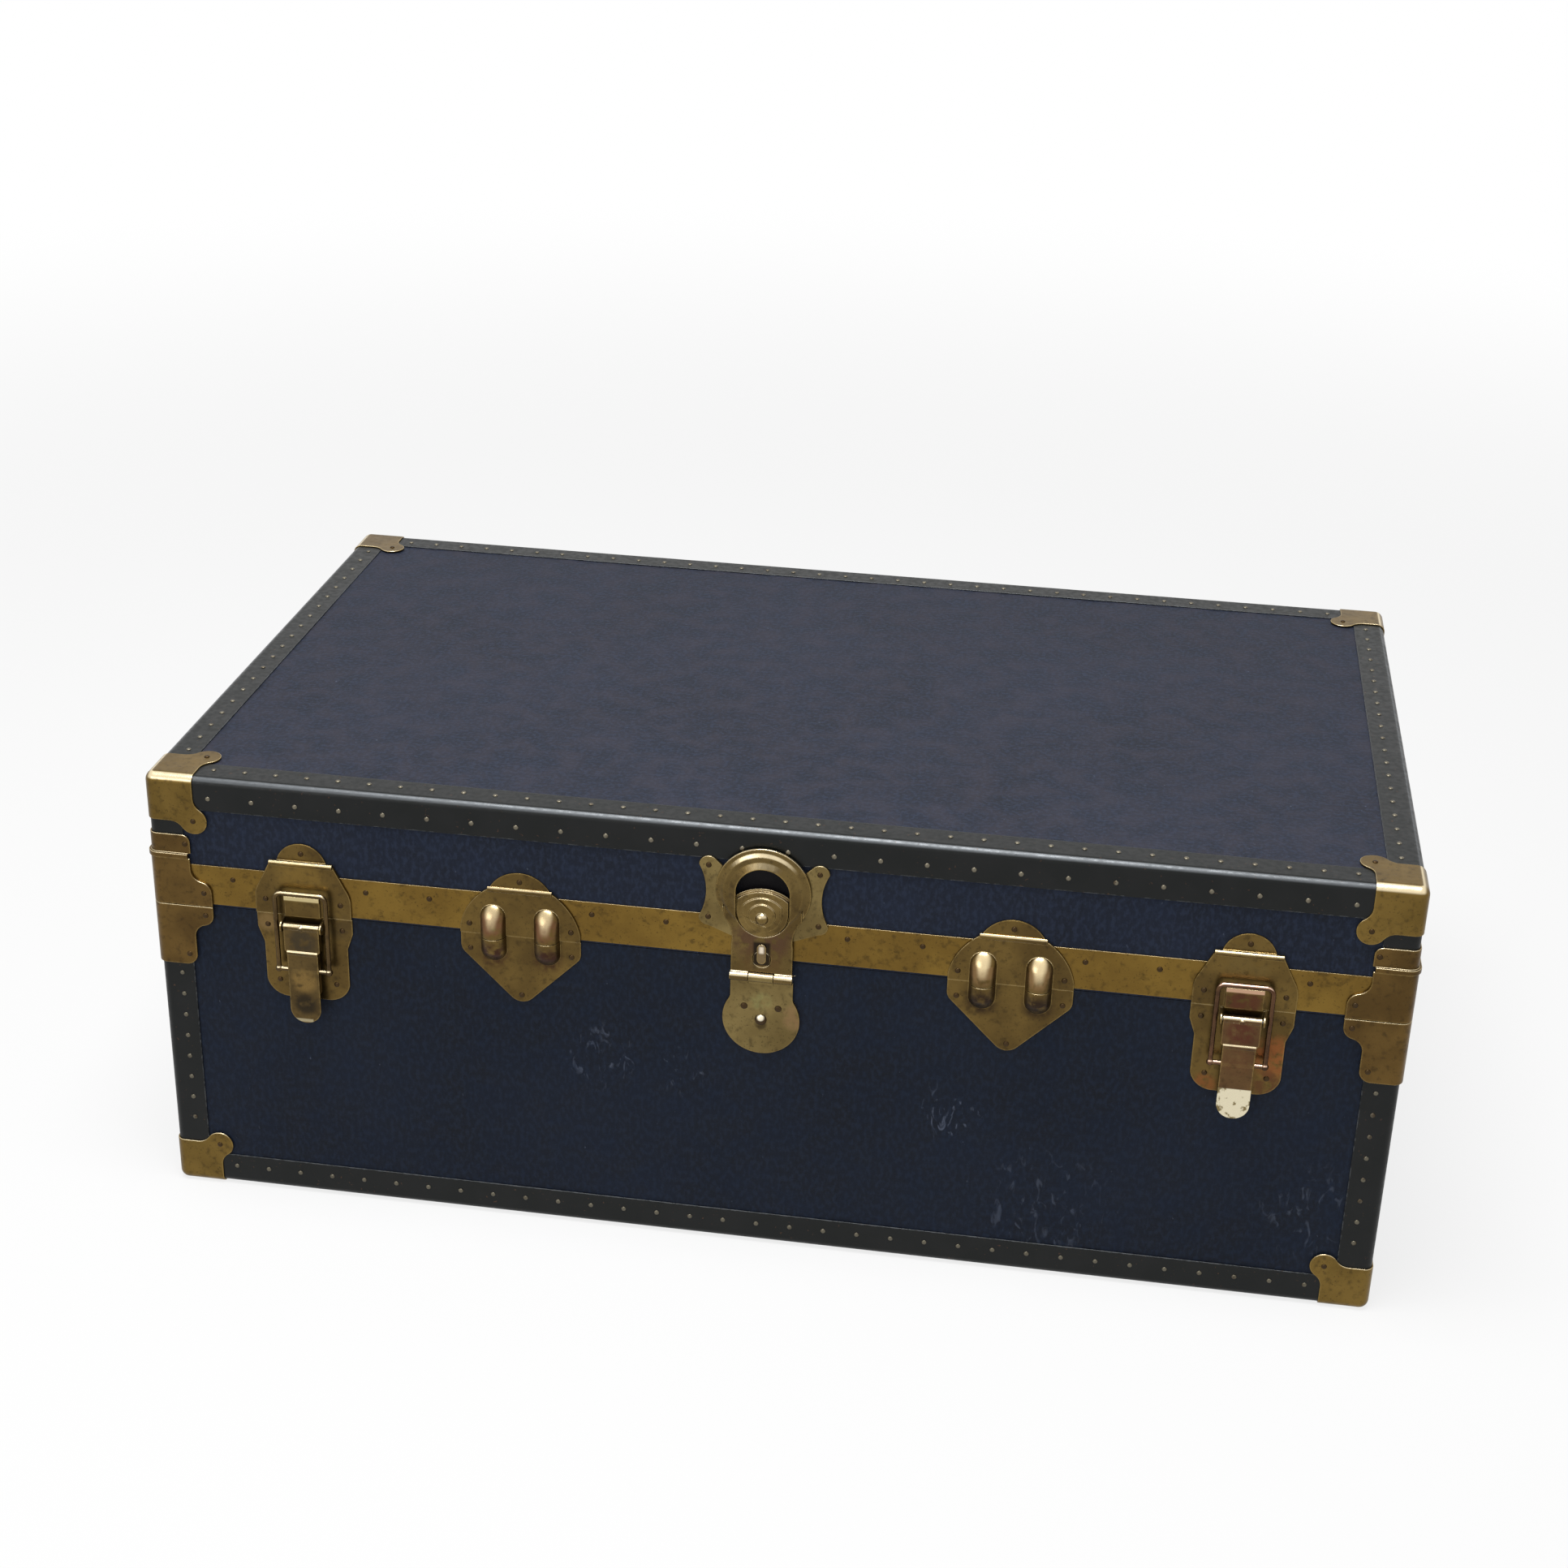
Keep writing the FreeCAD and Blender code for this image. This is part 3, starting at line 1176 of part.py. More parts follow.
    # The keyhole cover, a tongue that swings aside.
    top, low = rise(s.cover_rise), rise(s.cover_rise - s.cover_length)
    half = s.cover_half
    outline = both_sides([
        (0, low - half),
        (half, low, half),
        (half, top),
        (0, top + half, half),
    ])
    tongue = prism("cover_tongue", outline, s.cover_sheet, (0, front(s.hasp_face_out + s.play), 0))
    pin = cylinder("cover_pin", s.cover_pin_radius, s.hasp_face_out - back_out,
                   (0, front(back_out + s.play + s.cover_sheet), top), FRONT)
    node("lock_keyhole_cover", fuse("cover", [tongue, pin]))


def hinges():
    """Three hinges at the back: leaves on lid and case, and the pins between them."""
    lid_leaves, case_leaves, pins = [], [], []
    axis_y, axis_z = back(s.hinge_out), rim
    half, knuckle, sheet_size = s.hinge_half, s.hinge_knuckle_half, s.hinge_sheet
    for name, sign in (("left", -1), ("middle", 0), ("right", 1)):
        x = hinge_place * sign
        over = s.strip_sheet + sheet_size
        barrel = cylinder(f"hinge_{name}_lid_barrel", s.hinge_radius, knuckle * 2,
                          (x - knuckle, axis_y, axis_z), RIGHT)
        leaf = box(f"hinge_{name}_lid_leaf", (x - half, x + half), (back(s.strip_sheet), back(over)),
                   (rise(s.hinge_clear), rise(s.hinge_leaf)))
        neck = box(f"hinge_{name}_lid_neck", (x - knuckle, x + knuckle),
                   (back(s.hinge_out - s.hinge_radius), back(over)),
                   (axis_z, rise(s.hinge_clear + s.overrun)))
        bore = cylinder(f"hinge_{name}_lid_bore", s.hinge_pin_radius + s.play,
                        (knuckle + s.overrun) * 2, (x - knuckle - s.overrun, axis_y, axis_z), RIGHT)
        lid_leaves.append(cut(f"hinge_{name}_lid", fuse(f"hinge_{name}_lid_blank",
                                                        [barrel, leaf, neck]), [bore]))
        pieces = [box(f"hinge_{name}_case_leaf", (x - half, x + half), (back(0), back(sheet_size)),
                      (drop(s.hinge_leaf), drop(s.hinge_clear)))]
        length = half - knuckle - s.side_play
        for side_name, way in SIDES:
            start = x + knuckle + s.side_play if way > 0 else x - half
            tag = f"hinge_{name}_{side_name}"
            pieces.append(cylinder(f"{tag}_barrel", s.hinge_radius, length,
                                   (start, axis_y, axis_z), RIGHT))
            pieces.append(box(f"{tag}_neck", (start, start + length), (back(0), back(over)),
                              (drop(s.hinge_clear + s.overrun), axis_z)))
        bore = cylinder(f"hinge_{name}_case_bore", s.hinge_pin_radius, (half + s.overrun) * 2,
                        (x - half - s.overrun, axis_y, axis_z), RIGHT)
        case_leaves.append(cut(f"hinge_{name}_case", fuse(f"hinge_{name}_case_blank", pieces),
                               [bore]))
        pins.append(cylinder(f"hinge_{name}_pin", s.hinge_pin_radius, half * 2,
                             (x - half, axis_y, axis_z), RIGHT))
    node("hinge_lid_leaves", group("hinge_lid", lid_leaves))
    node("hinge_case_leaves", group("hinge_case", case_leaves))
    node("hinge_pins", group("hinge_pin_set", pins))


def handle(name, way):
    """An end handle: two nailed plates with eyes, a wire bail and its leather grip."""
    axis_x, axis_z = (end + s.handle_out) * way, handle_axis
    bar_z = axis_z - s.handle_drop
    eye, wire = s.handle_eye_half, s.handle_wire
    post = s.handle_spread - eye - s.side_play - wire
    plates, bail = [], []
    for side_name, sign in SIDES:
        tag = f"handle_{name}_{side_name}"
        y = s.handle_spread * sign
        corner, width = s.handle_plate_corner, s.handle_plate_half
        low, high = axis_z - s.handle_plate_drop, axis_z + s.handle_plate_rise
        outline = both_sides([
            (width - corner, low),
            (width, low + corner, corner),
            (width, high - corner),
            (width - corner, high, corner),
        ])
        plate = prism(tag + "_plate", outline, s.handle_plate_sheet, (end * way, y, 0),
                      "YZ_Plane", way < 0)
        barrel = cylinder(tag + "_eye", s.handle_eye_radius, eye * 2, (axis_x, y - eye, axis_z), BACK)
        reach = (end * way, axis_x) if way > 0 else (axis_x, end * way)
        stem = box(tag + "_stem", reach, (y - eye, y + eye),
                   (axis_z, axis_z + s.handle_eye_radius))
        bore = cylinder(tag + "_bore", wire + s.play, (eye + s.overrun) * 2,
                        (axis_x, y - eye - s.overrun, axis_z), BACK)
        plates.append(cut(tag + "_bracket", fuse(tag + "_blank", [plate, barrel, stem]), [bore]))

        outer = s.handle_spread + eye + s.side_play + s.handle_ball
        length = outer - post
        start = y * 0 + post if sign > 0 else -outer
        bail.append(cylinder(tag + "_end", wire, length, (axis_x, start, axis_z), BACK))
        bail.append(sphere(tag + "_ball", s.handle_ball, (axis_x, outer * sign, axis_z)))
        bail.append(sphere(tag + "_elbow", wire, (axis_x, post * sign, axis_z)))
        bail.append(cylinder(tag + "_post", wire, s.handle_drop - s.handle_bend,
                             (axis_x, post * sign, bar_z + s.handle_bend)))
        turn = FreeCAD.Rotation(BACK * sign, UP * -1, BACK.cross(UP * -1) * sign, "ZXY")
        bail.append(bend(tag + "_bend", s.handle_bend, wire,
                         (axis_x, (post - s.handle_bend) * sign, bar_z + s.handle_bend), turn))
    bail.append(cylinder(f"handle_{name}_bar", wire, (post - s.handle_bend) * 2,
                         (axis_x, -(post - s.handle_bend), bar_z), BACK))
    node(f"handle_plates_{name}", group(f"handle_{name}_plates", plates))
    node(f"handle_bail_{name}", fuse(f"handle_{name}_bail", bail))

    half, thick, thin = s.grip_half, s.grip_radius, s.grip_end_radius
    swell = thick - thin
    crown_radius = (half * half + swell * swell) / (swell * 2)
    outline = [(wire, -half), (thin, -half), (thick, 0, crown_radius), (thin, half, crown_radius),
               (wire, half)]
    turn = FreeCAD.Rotation(UP, BACK)
    node(f"handle_grip_{name}", lathe(f"handle_{name}_grip", outline, (axis_x, 0, bar_z), turn))


def on_front(x, out, z):
    return vector(x, front(out), z)


def heads(shape_size, places):
    """Many like heads as separate solids. Each place is a point and the way it faces."""
    shapes = {}
    solids = []
    for point, facing in places:
        key = tuple(facing)
        if key not in shapes:
            shapes[key] = head(*shape_size, facing)
        solids.append(shapes[key].translated(point))
    return solids


def edge_rows(height, inward, pitch, flat_pitch):
    """Tacks along the four level edges: a row on the walls and, if asked, one on the flat."""
    start = s.cap_leg + s.tack_margin
    wall_z = height + s.tack_inset * inward
    out = s.binding_sheet
    places = []
    for _, y in SIDES:
        for x in even_row((end - start) * 2, pitch):
            places.append((vector(x, (side + out) * y, wall_z), BACK * y))
        if flat_pitch:
            for x in even_row((end - start) * 2, flat_pitch):
                places.append((vector(x, (side - s.tack_inset) * y, height - out * inward),
                               UP * -inward))
    for _, x in SIDES:
        for y in even_row((side - start) * 2, pitch):
            places.append((vector((end + out) * x, y, wall_z), RIGHT * x))
        if flat_pitch:
            for y in even_row((side - start) * 2, flat_pitch):
                places.append((vector((end - s.tack_inset) * x, y, height - out * inward),
                               UP * -inward))
    return places


def corner_rows(low, high):
    """Tacks up both legs of the case's corner bindings."""
    places = []
    middle = float(low + high) / 2
    for step in even_row(high - low, s.tack_pitch_corner):
        for _, x in SIDES:
            for _, y in SIDES:
                out = s.binding_sheet
                places.append((vector((end - s.tack_inset) * x, (side + out) * y, middle + step),
                               BACK * y))
                places.append((vector((end + out) * x, (side - s.tack_inset) * y, middle + step),
                               RIGHT * x))
    return places


def corner_nails(level, from_edge, z):
    """A nail on both wings of a fitting, at all four corners."""
    places = []
    for _, x in SIDES:
        for _, y in SIDES:
            places.append((vector((end - from_edge) * x, (side + level) * y, z), BACK * y))
            places.append((vector((end + level) * x, (side - from_edge) * y, z), RIGHT * x))
    return places


def pairs(middle, across, out, z):
    """Two nails on a front fitting, either side of its middle."""
    return [(on_front(middle + across * sign, out, z), FRONT) for _, sign in SIDES]


def fastenings():
    """The tacks of the bindings and the nails of the brass fittings."""
    tack, nail = (s.tack_radius, s.tack_head), (s.nail_radius, s.nail_head)
    swell = s.binding_sheet + s.clamp_swell

    case_tacks = edge_rows(foot, 1, s.tack_pitch_foot, None)
    case_tacks += corner_rows(foot + s.cap_leg + s.lobe_radius + s.tack_margin,
                              drop(s.clamp_drop) - s.tack_margin)
    node("case_binding_tacks", pressed("case_tacks", Part.Compound(heads(tack, case_tacks))))
    lid_tacks = edge_rows(crown, -1, s.tack_pitch_lid, s.tack_pitch_top)
    node("lid_binding_tacks", pressed("lid_tacks", Part.Compound(heads(tack, lid_tacks))))

    lid_nails = corner_nails(foot, s.lobe_reach - foot, s.trunk_height - s.lobe_reach)
    lid_nails += corner_nails(swell, s.clamp_lobe_reach, rise(s.clamp_lobe_rise))
    lid_nails += corner_nails(s.binding_sheet + s.clamp_sheet,
                              s.clamp_width - s.clamp_corner_radius,
                              clamp_top - s.clamp_corner_radius * 1.2)
    case_nails = corner_nails(foot, s.lobe_reach - foot, s.lobe_reach)
    case_nails += corner_nails(swell, s.clamp_lobe_reach, drop(s.clamp_lobe_drop))
    case_nails += corner_nails(swell, s.clamp_width - s.clamp_foot_radius,
                               drop(s.clamp_drop) + s.clamp_foot_radius)
    for x in (-1, 1):
        for y in (-1, 1):
            point = vector((end + foot - s.lobe_reach) * x, (side + foot - s.lobe_reach) * y,
                           s.trunk_height)
            lid_nails.append((point, UP))

    strip_z = rise(s.strip_nail_rise)
    bays = (
        (end - s.clamp_lobe_reach - s.clamp_lobe_radius, bolt_place + s.bolt_half),
        (bolt_place - s.bolt_half, dowel_place + s.dowel_half),
        (dowel_place - s.dowel_half, s.ear_place + s.ear_radius),
    )
    for name, sign in SIDES:
        for (outer, inner), shares in zip(bays, NAIL_SHARES[name]):
            for share in shares:
                x = (outer - (outer - inner) * share) * sign
                lid_nails.append((on_front(x, s.strip_sheet, strip_z), FRONT))
    length = (side - s.clamp_lobe_reach - s.strip_nail_pitch / 2) * 2
    for _, x in SIDES:
        for y in even_row(length, s.strip_nail_pitch):
            lid_nails.append((vector((end + s.strip_sheet) * x, y, strip_z), RIGHT * x))
    length = hinge_place * 2
    for x in even_row(length, hinge_place / 4):
        if min(abs(x - float(hinge_place * i)) for i in (-1, 0, 1)) > float(s.hinge_half):
            lid_nails.append((vector(x, back(s.strip_sheet), strip_z), BACK))

    for _, sign in SIDES:
        x = bolt_place * sign
        out = s.plate_swell
        edge = s.bolt_half - s.nail_radius * 3.6
        lid_nails.append((on_front(x, s.plate_sheet,
                                   rise((s.bolt_step_rise + s.bolt_arch_rise) / 2)), FRONT))
        lid_nails += pairs(x, edge, out, rise(s.bolt_side_rise))
        case_nails += pairs(x, edge, s.plate_sheet, drop(s.bolt_flare_drop - s.nail_radius))
        case_nails += pairs(x, s.bolt_waist_half - s.nail_radius * 4.6, s.plate_sheet,
                            drop(s.bolt_corner_drop))
        x = dowel_place * sign
        edge = s.dowel_half - s.nail_radius * 3.2
        lid_nails.append((on_front(x, s.plate_sheet,
                                   rise((s.dowel_step_rise + s.dowel_arch_rise) / 2)), FRONT))
        lid_nails += pairs(x, edge, out, rise(s.dowel_side_rise + s.nail_radius))
        case_nails += pairs(x, edge, s.plate_sheet, drop(s.dowel_side_drop - s.nail_radius / 2))
        case_nails.append((on_front(x, s.plate_sheet,
                                    drop(s.dowel_foot_drop - s.nail_radius * 2.6)), FRONT))

    for ear in (rise(s.ear_low_rise), high_ear):
        lid_nails += pairs(s.ear_place * 0, s.ear_place, s.lock_plate_out, ear)
    rivets = pairs(s.rivet_radius * 0, s.lock_base_radius * 0.44, s.lock_base_out,
                   drop(s.lock_base_drop) + s.lock_base_radius * 0.36)
    boss = [(on_front(0, s.lock_base_out, drop(s.lock_base_drop)), FRONT)]

    for sign in (-1, 0, 1):
        x = hinge_place * sign
        for way in (-1, 1):
            edge = x + (s.hinge_half - s.nail_radius * 3) * way
            middle = (s.hinge_clear + s.hinge_leaf) / 2
            lid_nails.append((vector(edge, back(s.strip_sheet + s.hinge_sheet), rise(middle)),
                              BACK))
            case_nails.append((vector(edge, back(s.hinge_sheet), drop(middle)), BACK))

    width = s.handle_plate_half - s.handle_plate_corner
    for _, x in SIDES:
        for _, y in SIDES:
            for way in (-1, 1):
                for z in (handle_axis + s.handle_plate_rise - s.handle_plate_corner,
                          handle_axis - s.handle_plate_drop + s.handle_plate_corner):
                    point = vector((end + s.handle_plate_sheet) * x,
                                   s.handle_spread * y + width * way, z)
                    case_nails.append((point, RIGHT * x))

    solids = heads(nail, case_nails) + heads((s.rivet_radius, s.nail_head), rivets)
    solids += heads((s.boss_radius, s.boss_head), boss)
    node("case_hardware_nails", pressed("case_nails", Part.Compound(solids)))
    node("lid_hardware_nails", pressed("lid_nails", Part.Compound(heads(nail, lid_nails))))


def build():
    """Every sub-part, from the carcass outwards."""
    carcass_boards("case", foot + s.covering, rim, foot + s.covering, "bottom")
    covering_sheets("case", foot + s.covering_inset, rim, foot)
    floor = foot + wall
    lining_sheets("case", floor + s.lining, drop(s.tongue_drop), floor)
    rim_tongue()
    carcass_boards("lid", lid_rim, crown - s.covering, crown - wall, "top")
    covering_sheets("lid", lid_rim, crown - s.covering_inset, crown - s.covering)
    ceiling = crown - wall - s.lining
    lining_sheets("lid", rise(s.tongue_rise + s.strip_rise), ceiling, ceiling)

    level_bindings("case_bottom_bindings", foot, UP)
    level_bindings("lid_top_bindings", crown, UP * -1)
    corner_bindings("case_corner_bindings", foot + binding_stop, rim)
    corner_bindings("lid_corner_bindings", lid_rim, crown - binding_stop)
    valance()
    corner_caps("case_corner_caps", False)
    corner_caps("lid_corner_caps", True)
    seam_clamps()

    pins = []
    for name, sign in SIDES:
        draw_bolt(name, bolt_place * sign)
        pins += dowel(name, dowel_place * sign)
        handle(name, sign)
    node("dowel_pins", group("dowel_pin_set", pins))
    lock()
    hinges()
    fastenings()


build()
doc.recompute()

for item in doc.Objects:
    if "Invalid" in item.State or "Error" in item.State:
        raise RuntimeError(f"{item.Name} failed: {item.State}")
for item in SUBPARTS:
    if item.Shape.isNull() or not item.Shape.isValid() or not item.Shape.Solids:
        raise RuntimeError(f"{item.Label} has no sound shape")

os.makedirs("parts", exist_ok=True)
for item in SUBPARTS:
    item.Shape.exportStep(f"parts/{item.Label}.step")
    print(f"{item.Label}: {len(item.Shape.Solids)} solids, {item.Shape.Volume:.0f} cubic mm")
print(f"{len(SUBPARTS)} sub-parts")
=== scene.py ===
import sys
import json
import logging
import math
from dataclasses import dataclass
from enum import Enum
from functools import cached_property, reduce
from typing import Any, Callable, Sequence

import bmesh
import bpy
from mathutils import Matrix, Vector, noise

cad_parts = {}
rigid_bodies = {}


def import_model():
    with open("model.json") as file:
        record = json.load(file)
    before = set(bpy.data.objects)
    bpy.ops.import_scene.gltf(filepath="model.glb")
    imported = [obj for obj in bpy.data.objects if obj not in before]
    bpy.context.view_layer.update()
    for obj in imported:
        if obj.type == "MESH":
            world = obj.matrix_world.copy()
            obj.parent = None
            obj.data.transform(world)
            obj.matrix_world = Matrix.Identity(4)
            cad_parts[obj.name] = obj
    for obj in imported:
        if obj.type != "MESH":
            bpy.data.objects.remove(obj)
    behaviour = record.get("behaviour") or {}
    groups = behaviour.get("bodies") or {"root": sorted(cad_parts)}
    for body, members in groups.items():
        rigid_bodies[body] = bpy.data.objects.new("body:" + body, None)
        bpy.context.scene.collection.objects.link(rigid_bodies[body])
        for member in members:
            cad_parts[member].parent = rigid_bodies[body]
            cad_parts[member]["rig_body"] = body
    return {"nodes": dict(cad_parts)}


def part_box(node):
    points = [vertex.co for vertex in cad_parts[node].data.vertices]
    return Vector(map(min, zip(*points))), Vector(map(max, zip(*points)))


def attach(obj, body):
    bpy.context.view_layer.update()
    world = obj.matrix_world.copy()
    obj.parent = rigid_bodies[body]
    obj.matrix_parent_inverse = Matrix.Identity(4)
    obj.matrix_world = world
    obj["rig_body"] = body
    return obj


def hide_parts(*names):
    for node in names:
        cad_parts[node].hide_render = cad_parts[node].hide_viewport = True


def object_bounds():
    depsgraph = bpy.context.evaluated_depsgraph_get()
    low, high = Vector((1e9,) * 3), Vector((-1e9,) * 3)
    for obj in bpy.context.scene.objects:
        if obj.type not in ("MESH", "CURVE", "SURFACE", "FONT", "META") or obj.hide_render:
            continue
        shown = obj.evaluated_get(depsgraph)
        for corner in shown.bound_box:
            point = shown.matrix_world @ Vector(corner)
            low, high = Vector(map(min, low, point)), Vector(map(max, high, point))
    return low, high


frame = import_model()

# A cabin trunk in navy fibre, bound in black steel and fitted with brass. Lengths are metres,
# in the frame of the CAD model: +X to the right, the front faces -Y, +Z up. Colours are given as
# a screen shows them, with parts from 0 to 255.
CAD_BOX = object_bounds()
MIDDLE = (CAD_BOX[0] + CAD_BOX[1]) / 2
MM = 0.001
MERGE = 0.001 * MM
FRONT = -0.2665
FLAT_ANGLE = math.radians(1)
SHEET_ANGLE = math.radians(40)
RAYS = 4

logging.basicConfig(level=logging.INFO, format="%(name)s: %(message)s", stream=sys.stdout)
log = logging.getLogger("cabin_trunk")

Colour = tuple[float, float, float]
Point = tuple[float, float, float]
Value = Any
Socket = bpy.types.NodeSocket
Sockets = bpy.types.NodeOutputs
Material = bpy.types.Material
Piece = bpy.types.Object
BMesh = bmesh.types.BMesh


def paint(colour: Colour) -> Colour:
    """Turns a colour as a screen shows it into the linear one that a shader takes."""
    parts = [part / 255 for part in colour]
    return tuple(part / 12.92 if part <= 0.04045 else ((part + 0.055) / 1.055) ** 2.4 for part in parts)


class Side(Enum):
    """The trunk's two ends, seen from the front."""

    LEFT = -1
    RIGHT = 1

    @property
    def word(self) -> str:
        """The side as the CAD nodes spell it."""
        return self.name.lower()


class Wear(Enum):
    """How far a brass fitting is brightened, as a share: by handling on its worn edges, and by a painted
    highlight on the upper turns of its bends.
    """

    RESTING = 0.35
    HANDLED = 0.6
    RUBBED = 0.9


class NodeTree:
    """A tree of nodes that is built node by node."""

    prefix = "ShaderNode"

    def __init__(self, tree: bpy.types.NodeTree) -> None:
        """Takes a tree and empties it."""
        self.tree = tree
        self.tree.nodes.clear()

    def add(self, kind: str, inputs: dict[Any, Value] | None = None, **settings: Any) -> Sockets:
        """Adds a node.

        Args:
            kind: the node's type, which may go without the tree's own prefix.
            inputs: a constant or another node's output for each named or numbered input.
            settings: the node's own properties.

        Returns:
            The node's outputs.
        """
        node = self.tree.nodes.new(kind if "Node" in kind else self.prefix + kind)
        for key, value in settings.items():
            setattr(node, key, value)
        for key, value in (inputs or {}).items():
            socket = node.inputs[key]
            if isinstance(value, Socket):
                self.tree.links.new(value, socket)
            else:
                socket.default_value = (*value, 1) if socket.type == "RGBA" else value
        return node.outputs

    def math(self, operation: str, a: Value, b: Value = 0.0, clamp: bool = False) -> Socket:
        """Adds a sum of two values, and returns its output."""
        return self.add("ShaderNodeMath", {0: a, 1: b}, operation=operation, use_clamp=clamp)[0]

    def times(self, *factors: Value) -> Value:
        """Multiplies values in turn, and returns their product."""
        return reduce(lambda a, b: self.math("MULTIPLY", a, b), factors)

    def plus(self, *terms: Value) -> Value:
        """Adds values in turn, and returns their total."""
        return reduce(lambda a, b: self.math("ADD", a, b), terms)

    def vector(self, operation: str, inputs: dict[Any, Value]) -> Sockets:
        """Adds a sum of vectors, and returns its outputs."""
        return self.add("ShaderNodeVectorMath", inputs, operation=operation)

    def seen(self) -> Socket:
        """Returns 1 for the rays that show a thing: straight, mirrored or let through."""
        rays = self.add("LightPath")
        shown = self.plus(rays["Is Camera Ray"], rays["Is Glossy Ray"])
        return self.math("ADD", shown, rays["Is Transmission Ray"], clamp=True)


class Graph(NodeTree):
    """The shader nodes of one material, with the paint and the relief laid so far."""

    def __init__(self, name: str, plain: Colour, base: Colour | None = None) -> None:
        """Starts a material.

        Args:
            name: the material's name.
            plain: its colour in viewports.
            base: the paint under all others, or None for the plain colour.
        """
        self.material = bpy.data.materials.new(name)
        self.material.use_nodes = True
        self.material.diffuse_color = (*paint(plain), 1)
        super().__init__(self.material.node_tree)
        self.place = self.add("TexCoord")["Object"]
        self.normal = self.add("NewGeometry")["Normal"]
        self.colour: Value = base or plain
        self.relief: Socket | None = None

    def mix(self, share: Value, a: Value, b: Value) -> Socket:
        """Mixes colour b into colour a by a share, and returns the mixed colour."""
        shown = [colour if isinstance(colour, Socket) else paint(colour) for colour in (a, b)]
        return self.add("Mix", {0: share, 6: shown[0], 7: shown[1]}, data_type="RGBA")[2]

    def coat(self, colour: Value, *shares: Value) -> None:
        """Lays a colour over the paint so far, by the product of the shares."""
        self.colour = self.mix(self.times(*shares), self.colour, colour)

    def emboss(self, height: Value, depth: float) -> None:
        """Lays relief over the relief so far, as deep where the height is 1."""
        under = {"Normal": self.relief} if self.relief else {}
        self.relief = self.add("Bump", {"Strength": 1.0, "Distance": depth, "Height": height, **under})[0]

    def between(self, value: Value, low: float, high: float, least: float = 0.0,
                most: float = 1.0) -> Socket:
        """Eases a value from least to most as it goes from low to high.

        Args:
            value: what is eased.
            low, high: where the easing starts and ends; low may be the larger.
            least, most: what comes out there.

        Returns:
            The eased value.
        """
        inputs = {"Value": value, "From Min": low, "From Max": high, "To Min": least, "To Max": most}
        return self.add("MapRange", inputs, interpolation_type="SMOOTHSTEP")[0]

    def noise(self, grain: float, detail: float = 3.0, stretch: Sequence[float] = (1, 1, 1),
              shift: float = 0.0, distortion: float = 0.0) -> Socket:
        """Adds cloudy noise in the object's own space.

        Args:
            grain: the width of its clouds.
            detail: how many finer layers it has.
            stretch: how much finer or coarser it is along each axis.
            shift: a place of its own in the noise, so that two layers differ.
            distortion: how far it swirls.

        Returns:
            The noise, about 0.5.
        """
        where = {"Vector": self.place, "Scale": stretch, "Location": (shift, shift, shift)}
        inputs = {"Vector": self.add("Mapping", where)[0], "Scale": 1 / grain, "Detail": detail,
                  "Distortion": distortion}
        return self.add("TexNoise", inputs)[0]

    def split(self, vector: Socket) -> Sockets:
        """Returns a vector's X, Y and Z."""
        return self.add("SeparateXYZ", {"Vector": vector})

    def near(self, point: Point, radius: float) -> Socket:
        """Marks a round patch, which eases to 0 at its radius."""
        away = self.vector("DISTANCE", {0: self.place, 1: point})["Value"]
        return self.between(away, radius, radius * 0.45)

    def within(self, axis: str, middle: float, half: float, soft: float) -> Socket:
        """Marks a slice across an axis, which eases to 0 beyond its half width."""
        off = self.math("ABSOLUTE", self.math("SUBTRACT", self.split(self.place)[axis], middle))
        return self.between(off, half + soft, half)

    def rounded(self, radius: float) -> Socket:
        """Returns the way that the surface looks, as if its edges were rounded."""
        return self.add("Bevel", {"Radius": radius}, samples=RAYS)[0]

    def edges(self, radius: float) -> Socket:
        """Marks sharp turns of the surface, out to a radius."""
        match = self.vector("DOT_PRODUCT", {0: self.rounded(radius), 1: self.normal})["Value"]
        return self.between(match, 0.995, 0.86)

    def hollows(self, reach: float) -> Socket:
        """Marks the piece's own hollows, with walls within reach."""
        open_sky = self.add("AmbientOcclusion", {"Distance": reach}, samples=RAYS, only_local=True)["AO"]
        return self.between(open_sky, 0.85, 0.35)

    def facing(self, rounding: float = 0.0) -> Sockets:
        """Splits the way that the surface looks on the closed trunk.

        Args:
            rounding: how widely its edges are taken as rounded.

        Returns:
            The outputs, with X, Y and Z from -1 to 1.
        """
        normal = self.rounded(rounding) if rounding else self.normal
        return self.split(self.add("VectorTransform", {"Vector": normal}, vector_type="NORMAL",
                                   convert_from="WORLD", convert_to="OBJECT")[0])

    def crests(self, low: float = 0.3, high: float = 0.985, rounding: float = 0.0,
               aside: float = 0.7) -> Socket:
        """Finds the upper turn of bends, beads and domes, which faces the light from above, where wear and
        painted highlights are laid.

        Args:
            low, high: how far the turn's two ends look up, from 0 to 1.
            rounding: how widely edges are taken as rounded.
            aside: how far to a side the turn may look.

        Returns:
            1 on the turn, and 0 on faces that look out, aside or straight up.
        """
        facing = self.facing(rounding)
        return self.times(self.between(facing["Z"], low, low + 0.25),
                          self.between(facing["Z"], high, high - 0.055),
                          self.between(self.math("ABSOLUTE", facing["X"]), aside, aside - 0.4))

    def surface(self, **inputs: Value) -> Material:
        """Ends the tree in a surface shader, with the paint and the relief.

        Args:
            inputs: the shader's other inputs, with _ for the spaces in their names.

        Returns:
            The finished material.
        """
        named = {key.replace("_", " "): value for key, value in inputs.items()}
        shader = self.add("BsdfPrincipled", {"Base Color": self.colour, "Normal": self.relief, **named})
        self.add("OutputMaterial", {"Surface": shader[0]})
        return self.material


